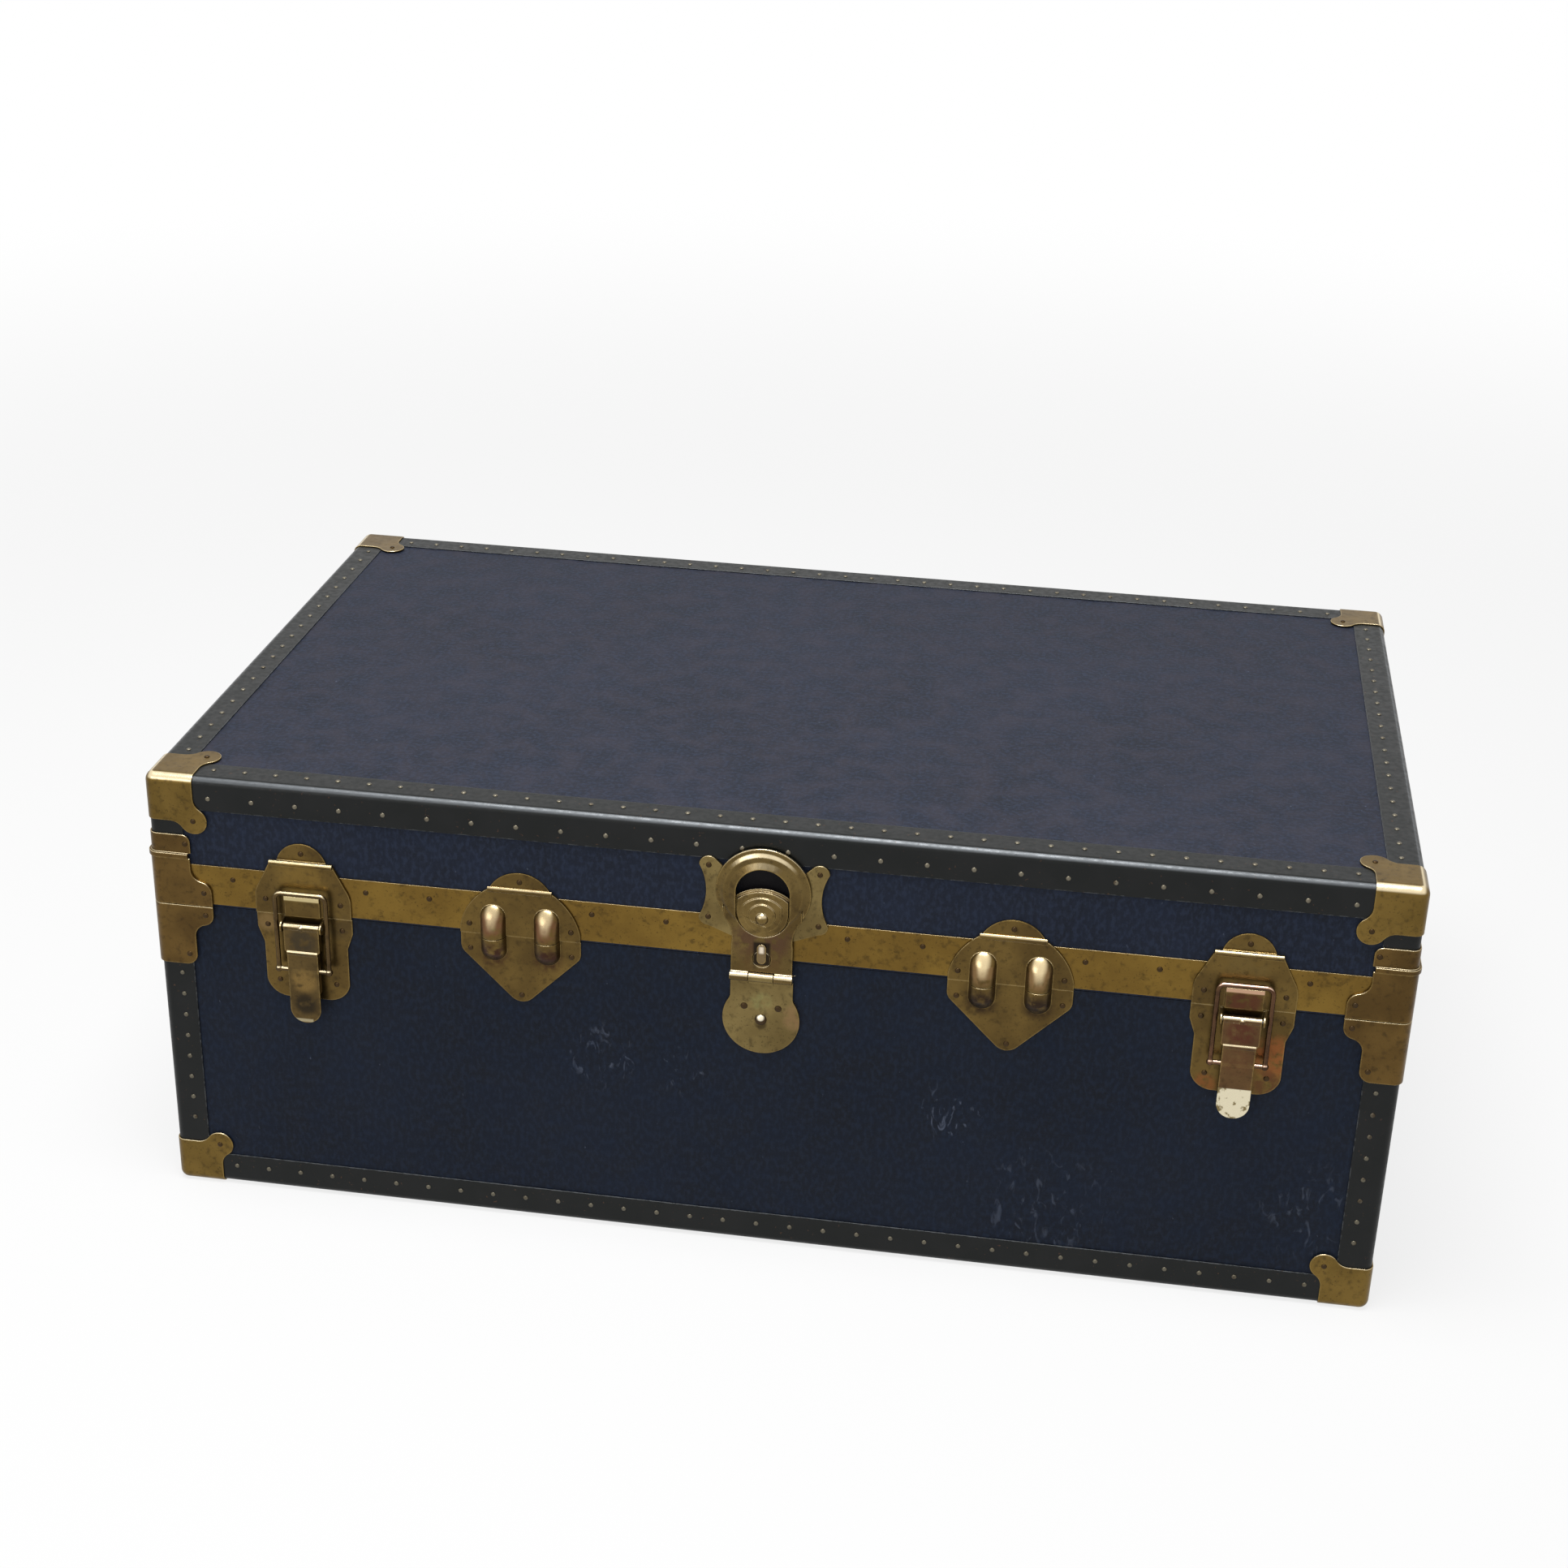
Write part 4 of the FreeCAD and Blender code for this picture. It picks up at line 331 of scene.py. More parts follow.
@dataclass(frozen=True)
class Stain:
    """A round patch of another colour on a fitting: a stain, a painted highlight or a painted shade."""

    point: Point
    radius: float
    colour: Colour
    share: float = 0.8
    grain: float = 6 * MM


@dataclass(frozen=True)
class Band:
    """A straight band across a brass fitting, of painted highlight or of painted shade."""

    point: Point
    half_width: float
    half_height: float
    colour: Colour
    share: float = 0.9
    soft: float = 0.8 * MM


@dataclass(frozen=True)
class BareMetal:
    """The bare part of a piece whose plating has gone below a level."""

    level: float
    colour: Colour = (224, 214, 184)
    pits: Colour = (128, 112, 74)


@dataclass(frozen=True)
class Brass:
    """Old brass, olive with tarnish, darker in its hollows with grime and painted shade, paler at its worn
    rims, and with a painted highlight, partly wear, on the upper turns of its bends.
    """

    name: str
    tarnish: Colour = (78, 61, 31)
    metal: Colour = (112, 90, 46)
    grime: Colour = (38, 30, 19)
    rim: Colour = (150, 126, 74)
    bright: Colour = (244, 226, 186)
    wear: Wear = Wear.RUBBED
    roughness: float = 0.34
    stains: tuple[Stain, ...] = ()
    bare: BareMetal | None = None
    bands: tuple[Band, ...] = ()
    turn: float = 0.3
    rounding: float = 0.0
    aside: float = 0.7
    level: float = 0.985
    top: float = 1.0

    def material(self) -> Material:
        """Builds the brass."""
        graph = Graph(self.name, self.metal, self.tarnish)
        clouds = graph.noise(34 * MM, 4, shift=1.3)
        mottle = graph.noise(5 * MM, 5, shift=4.1)
        specks = graph.noise(1.6 * MM, 2, shift=7.7)
        scratches = graph.noise(2.2 * MM, 3, (1, 1, 0.12), 2.9)
        height = graph.split(graph.place)["Z"]
        graph.coat(self.metal, graph.between(clouds, 0.32, 0.7, 0.15, 0.85))
        graph.coat(self.grime, graph.between(mottle, 0.5, 0.78, 0, 0.5))
        graph.coat(self.grime, graph.between(specks, 0.62, 0.74, 0, 0.5))
        # Stains, and round patches of painted highlight and painted shade.
        for stain in self.stains:
            patch = graph.noise(stain.grain, 3, shift=stain.point[0])
            graph.coat(stain.colour, graph.near(stain.point, stain.radius),
                       graph.between(patch, 0.3, 0.55), stain.share)
        # Grime, and painted shade: the piece's own hollows, found by ambient occlusion, are darkened.
        graph.coat(self.grime, graph.hollows(4 * MM), 0.8)
        graph.coat(self.rim, graph.edges(1.7 * MM), graph.between(mottle, 0.72, 0.42, 0.35, 1),
                   self.wear.value)
        # Bands of painted highlight and painted shade.
        for band in self.bands:
            graph.coat(band.colour, graph.within("X", band.point[0], band.half_width, band.soft),
                       graph.within("Z", band.point[2], band.half_height, band.soft), band.share)
        if self.bare is not None:
            level = self.bare.level
            pitted = graph.mix(graph.between(mottle, 0.55, 0.66), self.bare.colour, self.bare.pits)
            graph.coat(pitted, graph.between(height, level + 0.6 * MM, level - 0.4 * MM))
        # Painted highlight, partly wear: the upper turns of bends, beads and domes, which face the light
        # from above, are made near-white.
        rubbed_and_highlit = graph.times(graph.crests(self.turn, self.level, self.rounding, self.aside),
                             graph.between(mottle, 0.8, 0.5, 0.7, 1),
                             graph.math("LESS_THAN", height, self.top), self.wear.value)
        graph.coat(self.bright, rubbed_and_highlit)
        rough = graph.plus(graph.times(mottle, 0.2), self.roughness - 0.1)
        rough = graph.math("SUBTRACT", rough, graph.times(rubbed_and_highlit, 0.1), clamp=True)
        graph.emboss(graph.noise(11 * MM, 2, shift=9.2), 0.2 * MM)
        graph.emboss(graph.plus(scratches, mottle), 0.03 * MM)
        return graph.surface(Metallic=0.9, Roughness=rough)


@dataclass(frozen=True)
class Scuff:
    """A round mark on the fibre: a chalky rub, and, when dark and unbroken, a patch of painted shade."""

    point: Point
    radius: float
    share: float = 0.35
    colour: Colour = (120, 130, 152)
    broken: bool = True


@dataclass(frozen=True)
class NavyFibre:
    """Vulcanised fibre, dyed navy: a faint weave, cloudy dye, dust and a painted sheen on top, a few chalky
    rubs and patches of painted shade.
    """

    name: str
    dark: Colour = (9, 14, 24)
    light: Colour = (20, 28, 43)
    slub: Colour = (30, 41, 60)
    dust: Colour = (76, 69, 70)
    chalk: Colour = (120, 130, 152)
    scuffs: tuple[Scuff, ...] = ()

    def material(self) -> Material:
        """Builds the fibre."""
        graph = Graph(self.name, self.light, self.dark)
        clouds = graph.noise(120 * MM, 3, shift=0.6)
        blotches = graph.noise(22 * MM, 5, shift=3.3, distortion=0.4)
        threads = graph.plus(*(graph.noise(1.5 * MM, 2, stretch, shift) for stretch, shift in
                               (((0.1, 1, 1), 5.2), ((1, 1, 0.1), 6.4), ((1, 0.1, 1), 8.8))))
        weave = graph.between(threads, 1.25, 1.78)
        slubs = graph.between(graph.noise(3.2 * MM, 4, (1, 1, 0.6), 7.3), 0.42, 0.66)
        flecks = graph.between(graph.noise(3.4 * MM, 4, (1, 1, 0.5), 11.5), 0.70, 0.80)
        upward = graph.between(graph.facing()["Z"], 0.5, 0.95)
        graph.coat(self.light, graph.plus(graph.between(clouds, 0.3, 0.7, 0, 0.4),
                                          graph.between(blotches, 0.3, 0.75, 0, 0.6)))
        graph.coat(self.light, weave, 0.35)
        graph.coat(self.slub, slubs, 0.42)
        # Dust, and a painted sheen: faces that look up are made lighter.
        graph.coat(self.dust, upward, graph.between(blotches, 0.3, 0.75, 0.02, 0.28))
        graph.coat(self.chalk, flecks, 0.3)
        # Chalky rubs, and patches of painted shade.
        for fibre_mark in self.scuffs:
            shares = [graph.near(fibre_mark.point, fibre_mark.radius), fibre_mark.share]
            if fibre_mark.broken:
                rub = graph.noise(7 * MM, 5, (1, 1, 0.45), fibre_mark.point[2] * 30, 1.2)
                shares.insert(1, graph.between(rub, 0.56, 0.72))
            graph.coat(fibre_mark.colour, *shares)
        graph.emboss(graph.noise(42 * MM, 2, shift=2.2), 0.5 * MM)
        graph.emboss(graph.plus(weave, slubs), 0.06 * MM)
        return graph.surface(Roughness=graph.between(blotches, 0.25, 0.75, 0.58, 0.74),
                             Specular_IOR_Level=0.16)


@dataclass(frozen=True)
class BlackSteel:
    """Thin steel under black lacquer, worn grey at chipped edges, with a grey painted highlight along the
    upper turns of its bends.
    """

    name: str = "black_binding_steel"
    lacquer: Colour = (12, 15, 14)
    faded: Colour = (22, 23, 23)
    bare: Colour = (132, 136, 140)
    rust: Colour = (82, 56, 38)

    def material(self) -> Material:
        """Builds the lacquered steel."""
        graph = Graph(self.name, self.lacquer)
        clouds = graph.noise(30 * MM, 4, shift=0.9)
        chips = graph.noise(4.5 * MM, 5, shift=5.5)
        spots = graph.between(graph.noise(2.6 * MM, 3, shift=8.1), 0.68, 0.76)
        worn_and_highlit = graph.times(graph.edges(1.5 * MM), graph.between(chips, 0.42, 0.62))
        # Painted highlight: the upper turns of the bends, which face the light from above, are also made
        # bare grey.
        worn_and_highlit = graph.math("MAXIMUM", worn_and_highlit, graph.times(graph.crests(0.4, 0.96), 0.8))
        graph.coat(self.faded, graph.between(clouds, 0.35, 0.7, 0, 0.7))
        graph.coat(self.bare, worn_and_highlit, 0.5)
        graph.coat(self.rust, spots, 0.7)
        graph.emboss(graph.noise(16 * MM, 2, shift=3.7), 0.25 * MM)
        graph.emboss(chips, 0.05 * MM)
        return graph.surface(Metallic=graph.times(worn_and_highlit, 0.6), Specular_IOR_Level=0.22,
                             Roughness=graph.between(chips, 0.3, 0.7, 0.30, 0.46))


@dataclass(frozen=True)
class DullSteel:
    """Bare steel that has gone grey, with brown spots, and where asked a patch of painted highlight."""

    name: str
    metal: Colour = (136, 132, 124)
    spot: Colour = (84, 64, 48)
    roughness: float = 0.42
    bright: Stain | None = None

    def material(self) -> Material:
        """Builds the steel."""
        graph = Graph(self.name, self.metal)
        clouds = graph.noise(6 * MM, 5, shift=1.1)
        graph.coat(self.spot, graph.between(clouds, 0.52, 0.72, 0, 0.8))
        if self.bright is not None:
            graph.coat(self.bright.colour, graph.near(self.bright.point, self.bright.radius))
        graph.emboss(clouds, 0.06 * MM)
        rough = graph.plus(graph.times(clouds, 0.25), self.roughness - 0.12)
        return graph.surface(Metallic=0.9, Roughness=rough)


@dataclass(frozen=True)
class LiningPaper:
    """Cream lining paper with a fine laid ground, narrow stripes and brown foxing."""

    name: str = "lining_paper"
    paper: Colour = (214, 202, 172)
    stripe: Colour = (176, 160, 128)
    foxing: Colour = (142, 104, 62)
    pitch: float = 16 * MM

    def material(self) -> Material:
        """Builds the paper, with stripes that run up each wall."""
        graph = Graph(self.name, self.paper)
        place = graph.split(graph.place)
        sideways = graph.math("GREATER_THAN", graph.math("ABSOLUTE", graph.split(graph.normal)["X"]), 0.5)
        across = graph.add("Mix", {0: sideways, 2: place["X"], 3: place["Y"]}, data_type="FLOAT")[0]
        wave = graph.math("SINE", graph.times(across, 2 * math.pi / self.pitch))
        wobble = graph.noise(3 * MM, 3, shift=2.4)
        graph.coat(self.stripe, graph.between(wave, 0.86, 0.97), graph.between(wobble, 0.3, 0.6), 0.55)
        graph.coat(self.stripe, graph.between(graph.noise(60 * MM, 4, shift=6.6), 0.45, 0.8, 0, 0.4))
        graph.coat(self.foxing, graph.between(graph.noise(7 * MM, 2, shift=9.9), 0.70, 0.78), 0.6)
        graph.emboss(graph.noise(1.2 * MM, 2, (0.2, 0.2, 1), 4.4), 0.05 * MM)
        graph.emboss(graph.noise(50 * MM, 2, shift=1.9), 0.6 * MM)
        return graph.surface(Roughness=0.82, Specular_IOR_Level=0.2)


@dataclass(frozen=True)
class Plywood:
    """Birch plywood, with grain on its faces and plies along its edges."""

    name: str = "birch_plywood"
    pale: Colour = (196, 164, 120)
    dark: Colour = (140, 104, 66)

    def material(self) -> Material:
        """Builds the plywood."""
        graph = Graph(self.name, self.pale)
        grain = graph.noise(9 * MM, 5, (0.06, 0.6, 1), 0.3, 0.6)
        plies = graph.noise(2.2 * MM, 1, (1, 1, 0.05), 3.9)
        graph.coat(self.dark, graph.between(grain, 0.3, 0.7))
        graph.coat(self.dark, graph.between(plies, 0.5, 0.62, 0, 0.45))
        graph.emboss(grain, 0.12 * MM)
        return graph.surface(Roughness=0.7, Specular_IOR_Level=0.3)


@dataclass(frozen=True)
class GripLeather:
    """Brown harness leather, darker where hands have been."""

    name: str
    hide: Colour = (104, 64, 38)
    dark: Colour = (52, 31, 20)

    def material(self) -> Material:
        """Builds the leather."""
        graph = Graph(self.name, self.hide)
        pores = graph.add("TexVoronoi", {"Vector": graph.place, "Scale": 1 / (1.5 * MM)},
                          feature="DISTANCE_TO_EDGE")["Distance"]
        creases = graph.noise(4 * MM, 5, (0.7, 1.6, 0.7), 2.7)
        handled = graph.noise(30 * MM, 3, shift=5.1)
        graph.coat(self.dark, graph.between(handled, 0.35, 0.7, 0.1, 0.8))
        graph.coat(self.dark, graph.between(creases, 0.52, 0.72, 0, 0.5))
        graph.coat(self.dark, graph.between(pores, 0.16, 0.0, 0, 0.6))
        graph.emboss(graph.between(pores, 0.0, 0.25), 0.14 * MM)
        graph.emboss(creases, 0.3 * MM)
        return graph.surface(Roughness=graph.between(creases, 0.3, 0.7, 0.38, 0.6),
                             Specular_IOR_Level=0.45)


@dataclass(frozen=True)
class WaxedThread:
    """Pale linen thread, darker in its lay."""

    name: str
    thread: Colour = (190, 168, 124)
    shade: Colour = (110, 88, 58)

    def material(self) -> Material:
        """Builds the thread."""
        graph = Graph(self.name, self.thread)
        lay = graph.noise(0.8 * MM, 2, shift=1.8)
        graph.coat(self.shade, graph.between(lay, 0.3, 0.8, 0, 0.6))
        graph.emboss(lay, 0.1 * MM)
        return graph.surface(Roughness=0.7)


class GrowthTree(NodeTree):
    """A Geometry Nodes tree with named inputs, that sets a shape on points and dresses it."""

    prefix = "GeometryNode"

    def __init__(self, name: str) -> None:
        """Starts a tree that takes and gives geometry."""
        super().__init__(bpy.data.node_groups.new(name, "GeometryNodeTree"))
        self.identifiers: dict[str, str] = {}
        for way in ("OUTPUT", "INPUT"):
            self.tree.interface.new_socket("Geometry", in_out=way, socket_type="NodeSocketGeometry")
        self.inlet = self.tree.nodes.new("NodeGroupInput")
        self.outlet = self.tree.nodes.new("NodeGroupOutput")

    def ask(self, name: str, kind: str) -> Socket:
        """Adds a named input.

        Args:
            name: the input's name.
            kind: its type, such as Float.

        Returns:
            Its socket inside the tree.
        """
        socket = self.tree.interface.new_socket(name, in_out="INPUT", socket_type=f"NodeSocket{kind}")
        self.identifiers[name] = socket.identifier
        return self.inlet.outputs[name]

    def resize(self, size: Value, low: Value, high: float, seed: int) -> Socket:
        """Scales a size by a random factor from low to high, and returns it."""
        draw = {2: low, 3: high, "Seed": seed}
        factor = self.add("FunctionNodeRandomValue", draw, data_type="FLOAT")[1]
        return self.vector("SCALE", {0: size, "Scale": factor})[0]

    def scatter(self, points: Socket, shape: Socket, facing: Socket, size: Socket) -> None:
        """Sets a shape on each point, gives it the named material and ends the tree.

        Args:
            points: the points.
            shape: what is set on them.
            facing: where its own Z axis then looks.
            size: its size along each axis.
        """
        aim = self.add("FunctionNodeAlignRotationToVector", {"Vector": facing}, axis="Z")[0]
        laid = self.add("InstanceOnPoints", {"Points": points, "Instance": shape, "Rotation": aim,
                                             "Scale": size})[0]
        real = self.add("RealizeInstances", {"Geometry": laid})[0]
        look = {"Geometry": real, "Material": self.ask("Material", "Material")}
        smooth = self.add("SetShadeSmooth", {"Geometry": self.add("SetMaterial", look)[0]})[0]
        self.tree.links.new(smooth, self.outlet.inputs[0])

    def grow(self, name: str, seed_mesh: bpy.types.Mesh, **values: Value) -> Piece:
        """Runs the tree on a mesh and keeps the result as a plain mesh.

        Args:
            name: the name of the new piece.
            seed_mesh: the mesh that the tree starts from.
            values: a value for each named input.

        Returns:
            The new object, with no modifier.
        """
        holder = placed(name + "_seed", seed_mesh)
        modifier = holder.modifiers.new("growth", "NODES")
        modifier.node_group = self.tree
        for key, value in values.items():
            modifier[self.identifiers[key]] = value
        return flatten(holder, name)


def placed(name: str, data: Any) -> Piece:
    """Puts a new object with this data into the scene, and returns it."""
    piece = bpy.data.objects.new(name, data)
    bpy.context.scene.collection.objects.link(piece)
    return piece


def flatten(holder: Piece, name: str) -> Piece:
    """Turns an object with modifiers into a plain one.

    Args:
        holder: the object, which is removed.
        name: the name of the plain object.

    Returns:
        The plain object, at the origin.
    """
    graph = bpy.context.evaluated_depsgraph_get()
    mesh = bpy.data.meshes.new_from_object(holder.evaluated_get(graph), depsgraph=graph)
    mesh.name = name
    plain = placed(name, mesh)
    bpy.data.objects.remove(holder)
    return plain


def linked(name: str, work: BMesh) -> Piece:
    """Puts worked geometry into the scene as a smooth object of its own, and frees it."""
    mesh = bpy.data.meshes.new(name)
    work.to_mesh(mesh)
    work.free()
    mesh.shade_smooth()
    return placed(name, mesh)


def merged(node: str) -> BMesh:
    """Returns a copy of a CAD node's mesh with its loose triangles joined."""
    work = bmesh.new()
    work.from_mesh(frame["nodes"][node].data)
    bmesh.ops.remove_doubles(work, verts=work.verts, dist=MERGE)
    return work


def islands(node: str) -> list[tuple[Vector, Vector]]:
    """Returns the lowest and highest corner of each separate solid of a CAD node."""
    work = merged(node)
    seen: set[int] = set()
    found = []
    work.verts.ensure_lookup_table()
    for start in work.verts:
        if start.index in seen:
            continue
        seen.add(start.index)
        queue, low, high = [start], start.co.copy(), start.co.copy()
        while queue:
            here = queue.pop()
            low = Vector(map(min, low, here.co))
            high = Vector(map(max, high, here.co))
            for edge in here.link_edges:
                there = edge.other_vert(here)
                if there.index not in seen:
                    seen.add(there.index)
                    queue.append(there)
        found.append((low, high))
    work.free()
    return found


def outward(low: Vector, high: Vector) -> tuple[int, int]:
    """Returns a flat solid's thin axis, and 1 or -1 for the way along it that leads outside."""
    thin = min(range(3), key=lambda axis: high[axis] - low[axis])
    return thin, 1 if (low + high)[thin] / 2 > MIDDLE[thin] else -1


def bridge(work: BMesh, rows: list[list[Any]], closed: bool = False) -> None:
    """Fills the squares between neighbouring rows of vertices.

    Args:
        work: the geometry that they are in.
        rows: the rows, all of one length.
        closed: whether each row's end joins its start.
    """
    for a, b in zip(rows, rows[1:]):
        for j in range(len(a) if closed else len(a) - 1):
            k = (j + 1) % len(a)
            work.faces.new((a[j], b[j], b[k], a[k]))


def settle(piece: Piece, node: str) -> Piece:
    """Lets a piece ride with, and stand for, the CAD node that it was made for."""
    body = frame["nodes"][node]["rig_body"]
    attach(piece, body)
    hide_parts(node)
    log.info("%s rides on %s", piece.name, body)
    return piece


class SubAssembly:
    """What every sub-assembly of the trunk can do with its pieces of metal."""

    def work_up(self, node: str, material: Material, rounding: float = 0.35 * MM, turn: float = 38,
                form: Callable[[BMesh], None] | None = None) -> Piece:
        """Rounds the edges of a pressed or drawn metal piece and dresses it.

        Args:
            node: the CAD node.
            material: its finish.
            rounding: the width of its rounded edges.
            turn: how many degrees an edge turns at least to be rounded.
            form: what shapes the merged mesh before its edges are rounded.

        Returns:
            The piece, settled in place of its node.
        """
        work = merged(node)
        bmesh.ops.dissolve_limit(work, angle_limit=FLAT_ANGLE, verts=work.verts, edges=work.edges)
        if form is not None:
            form(work)
        piece = linked(node + "_rounded", work)
        bevel = piece.modifiers.new("rounding", "BEVEL")
        bevel.width = rounding
        bevel.segments = 2
        bevel.limit_method = "ANGLE"
        bevel.angle_limit = math.radians(turn)
        bevel.use_clamp_overlap = False
        bevel.miter_outer = "MITER_ARC"
        weighted = piece.modifiers.new("flat_faces", "WEIGHTED_NORMAL")
        weighted.mode = "FACE_AREA"
        weighted.weight = 60
        formed = flatten(piece, node + "_formed")
        formed.data.materials.clear()
        formed.data.materials.append(material)
        return settle(formed, node)

    def repaint(self, node: str, material: Material) -> None:
        """Gives a CAD node, whose shape stays as it is, its finish."""
        target = frame["nodes"][node]
        target.data.materials.clear()
        target.data.materials.append(material)
        log.info("%s keeps its shape", node)


@dataclass
class Carcass(SubAssembly):
    """The plywood box and lid, with their fibre outside and paper inside."""

    cell: float = 11 * MM
    swell: float = 0.35 * MM
    broad: float = 9
    fine: float = 31
    boards: tuple[str, ...] = ("front", "back", "left", "right")
    scuffs: tuple[Scuff, ...] = (
        Scuff((-0.118, FRONT, 0.150), 34 * MM),
        Scuff((-0.060, FRONT, 0.146), 26 * MM),
        Scuff((0.140, FRONT, 0.135), 32 * MM, 0.45),
        Scuff((0.215, FRONT, 0.060), 60 * MM, 0.2),
        Scuff((0.410, FRONT, 0.080), 50 * MM, 0.2),
        # Painted shade: a near-black patch on the lid's fibre behind the lock ring, where its recess lies in
        # shadow.
        Scuff((0, FRONT, 0.308), 32 * MM, 1.0, (5, 3, 6), broken=False),
    )

    def fibre_sheets(self, node: str, material: Material) -> None:
        """Lays gently uneven fibre sheets where a CAD node has flat ones."""
        work = bmesh.new()
        for low, high in islands(node):
            self.sheet(work, low, high)
        bmesh.ops.recalc_face_normals(work, faces=work.faces)
        piece = linked(node + "_sheets", work)
        piece.data.set_sharp_from_angle(angle=SHEET_ANGLE)
        piece.data.materials.append(material)
        settle(piece, node)

    def sheet(self, work: BMesh, low: Vector, high: Vector) -> None:
        """Adds one closed sheet whose outer face swells and dips a little.

        Args:
            work: the geometry that it is added to.
            low, high: the corners of the flat sheet.
        """
        size = high - low
        thin, way = outward(low, high)
        wide, tall = [axis for axis in range(3) if axis != thin]
        steps = [max(2, round(size[axis] / self.cell)) for axis in (wide, tall)]
        layers = []
        for plane, outer in ((high, way > 0), (low, way < 0))[::way]:
            rows = []
            for i in range(steps[0] + 1):
                row = []
                for j in range(steps[1] + 1):
                    point = Vector((0, 0, 0))
                    point[wide] = low[wide] + size[wide] * i / steps[0]
                    point[tall] = low[tall] + size[tall] * j / steps[1]
                    point[thin] = plane[thin]
                    if outer and 0 < i < steps[0] and 0 < j < steps[1]:
                        lift = noise.noise(point * self.broad) + 0.5 * noise.noise(point * self.fine)
                        point[thin] += self.swell * lift * way
                    row.append(work.verts.new(point))
                rows.append(row)
            layers.append(rows)
            bridge(work, rows)
        top, bottom = layers
        rim = [(i, 0) for i in range(steps[0])] + [(steps[0], j) for j in range(steps[1])]
        rim += [(i, steps[1]) for i in range(steps[0], 0, -1)] + [(0, j) for j in range(steps[1], 0, -1)]
        for (a, b), (c, d) in zip(rim, rim[1:] + rim[:1]):
            work.faces.new((top[a][b], top[c][d], bottom[c][d], bottom[a][b]))

    def build(self) -> None:
        """Makes the boards, covering and lining of case and lid."""
        fibre = {"case": NavyFibre("navy_fibre_case", scuffs=self.scuffs),
                 # The lid's fibre takes only the last mark, the painted shade behind the lock.
                 "lid": NavyFibre("navy_fibre_lid", (15, 20, 31), (29, 36, 52), (44, 54, 75),
                                  scuffs=self.scuffs[-1:])}
        paper = LiningPaper().material()
        wood = Plywood().material()
        for half, level in (("case", "bottom"), ("lid", "top")):
            for board in (level, *self.boards):
                self.repaint(f"{half}_{board}_board", wood)
            self.repaint(f"{half}_lining", paper)
            self.fibre_sheets(f"{half}_fibre_cover", fibre[half].material())


@dataclass
class Bindings(SubAssembly):
    """The black steel along every edge, and the tongue inside the rim."""

    rounding: float = 0.3 * MM
    nodes: tuple[str, ...] = ("case_bottom_bindings", "case_corner_bindings",
                              "lid_top_bindings", "lid_corner_bindings")

    def build(self) -> None:
        """Makes the bindings and the tongue."""
        lacquered = BlackSteel().material()
        for node in self.nodes:
            self.work_up(node, lacquered, self.rounding)
        self.repaint("case_rim_tongue", DullSteel("tongue_steel", roughness=0.35).material())


@dataclass
class CornerBrass(SubAssembly):
    """The brass round the corners and along the lid's foot."""

    rounding: float = 0.45 * MM

    def build(self) -> None:
        """Makes the corner caps, the seam clamps and the strip."""
        caps = Brass("corner_brass", (96, 76, 34), (122, 98, 48)).material()
        clamps = Brass("clamp_brass", (76, 57, 28), (106, 82, 42)).material()
        strip = Brass("strip_brass", (104, 80, 34), (128, 101, 44), wear=Wear.RESTING).material()
        for half in ("case", "lid"):
            self.work_up(f"{half}_corner_caps", caps, self.rounding)
            self.work_up(f"{half}_seam_clamps", clamps, self.rounding)
        self.work_up("lid_valance", strip, self.rounding / 2)


@dataclass
class FrontFitting(SubAssembly):
    """A brass fitting on the front, away from the trunk's middle on one of its sides."""

    side: Side | None = None
    place: float = 0.0

    @property
    def middle(self) -> float:
        """The fitting's middle along the front."""
        return self.place * self.side.value if self.side else 0.0

    def stain(self, across: float, out: float, height: float, radius: float, colour: Colour,
              share: float = 0.8) -> Stain:
        """Places a round patch: a stain, a painted highlight or a painted shade.

        Args:
            across, out, height: its middle from the fitting's, out from and up the front, in mm.
            radius: its radius in mm.
            colour, share: as the patch has them.

        Returns:
            The patch.
        """
        return Stain((self.middle + across * MM, FRONT - out * MM, height * MM), radius * MM,
                     colour, share)

    def band(self, across: float, height: float, width: float, tall: float, colour: Colour,
             soft: float = 0.8) -> Band:
        """Places a band.

        Args:
            across, height: its middle from the fitting's and up the front, in mm.
            width, tall, soft: half its width, half its height and its soft edge in mm.
            colour: its colour.

        Returns:
            The band.
        """
        return Band((self.middle + across * MM, FRONT, height * MM), width * MM, tall * MM, colour,
                    soft=soft * MM)


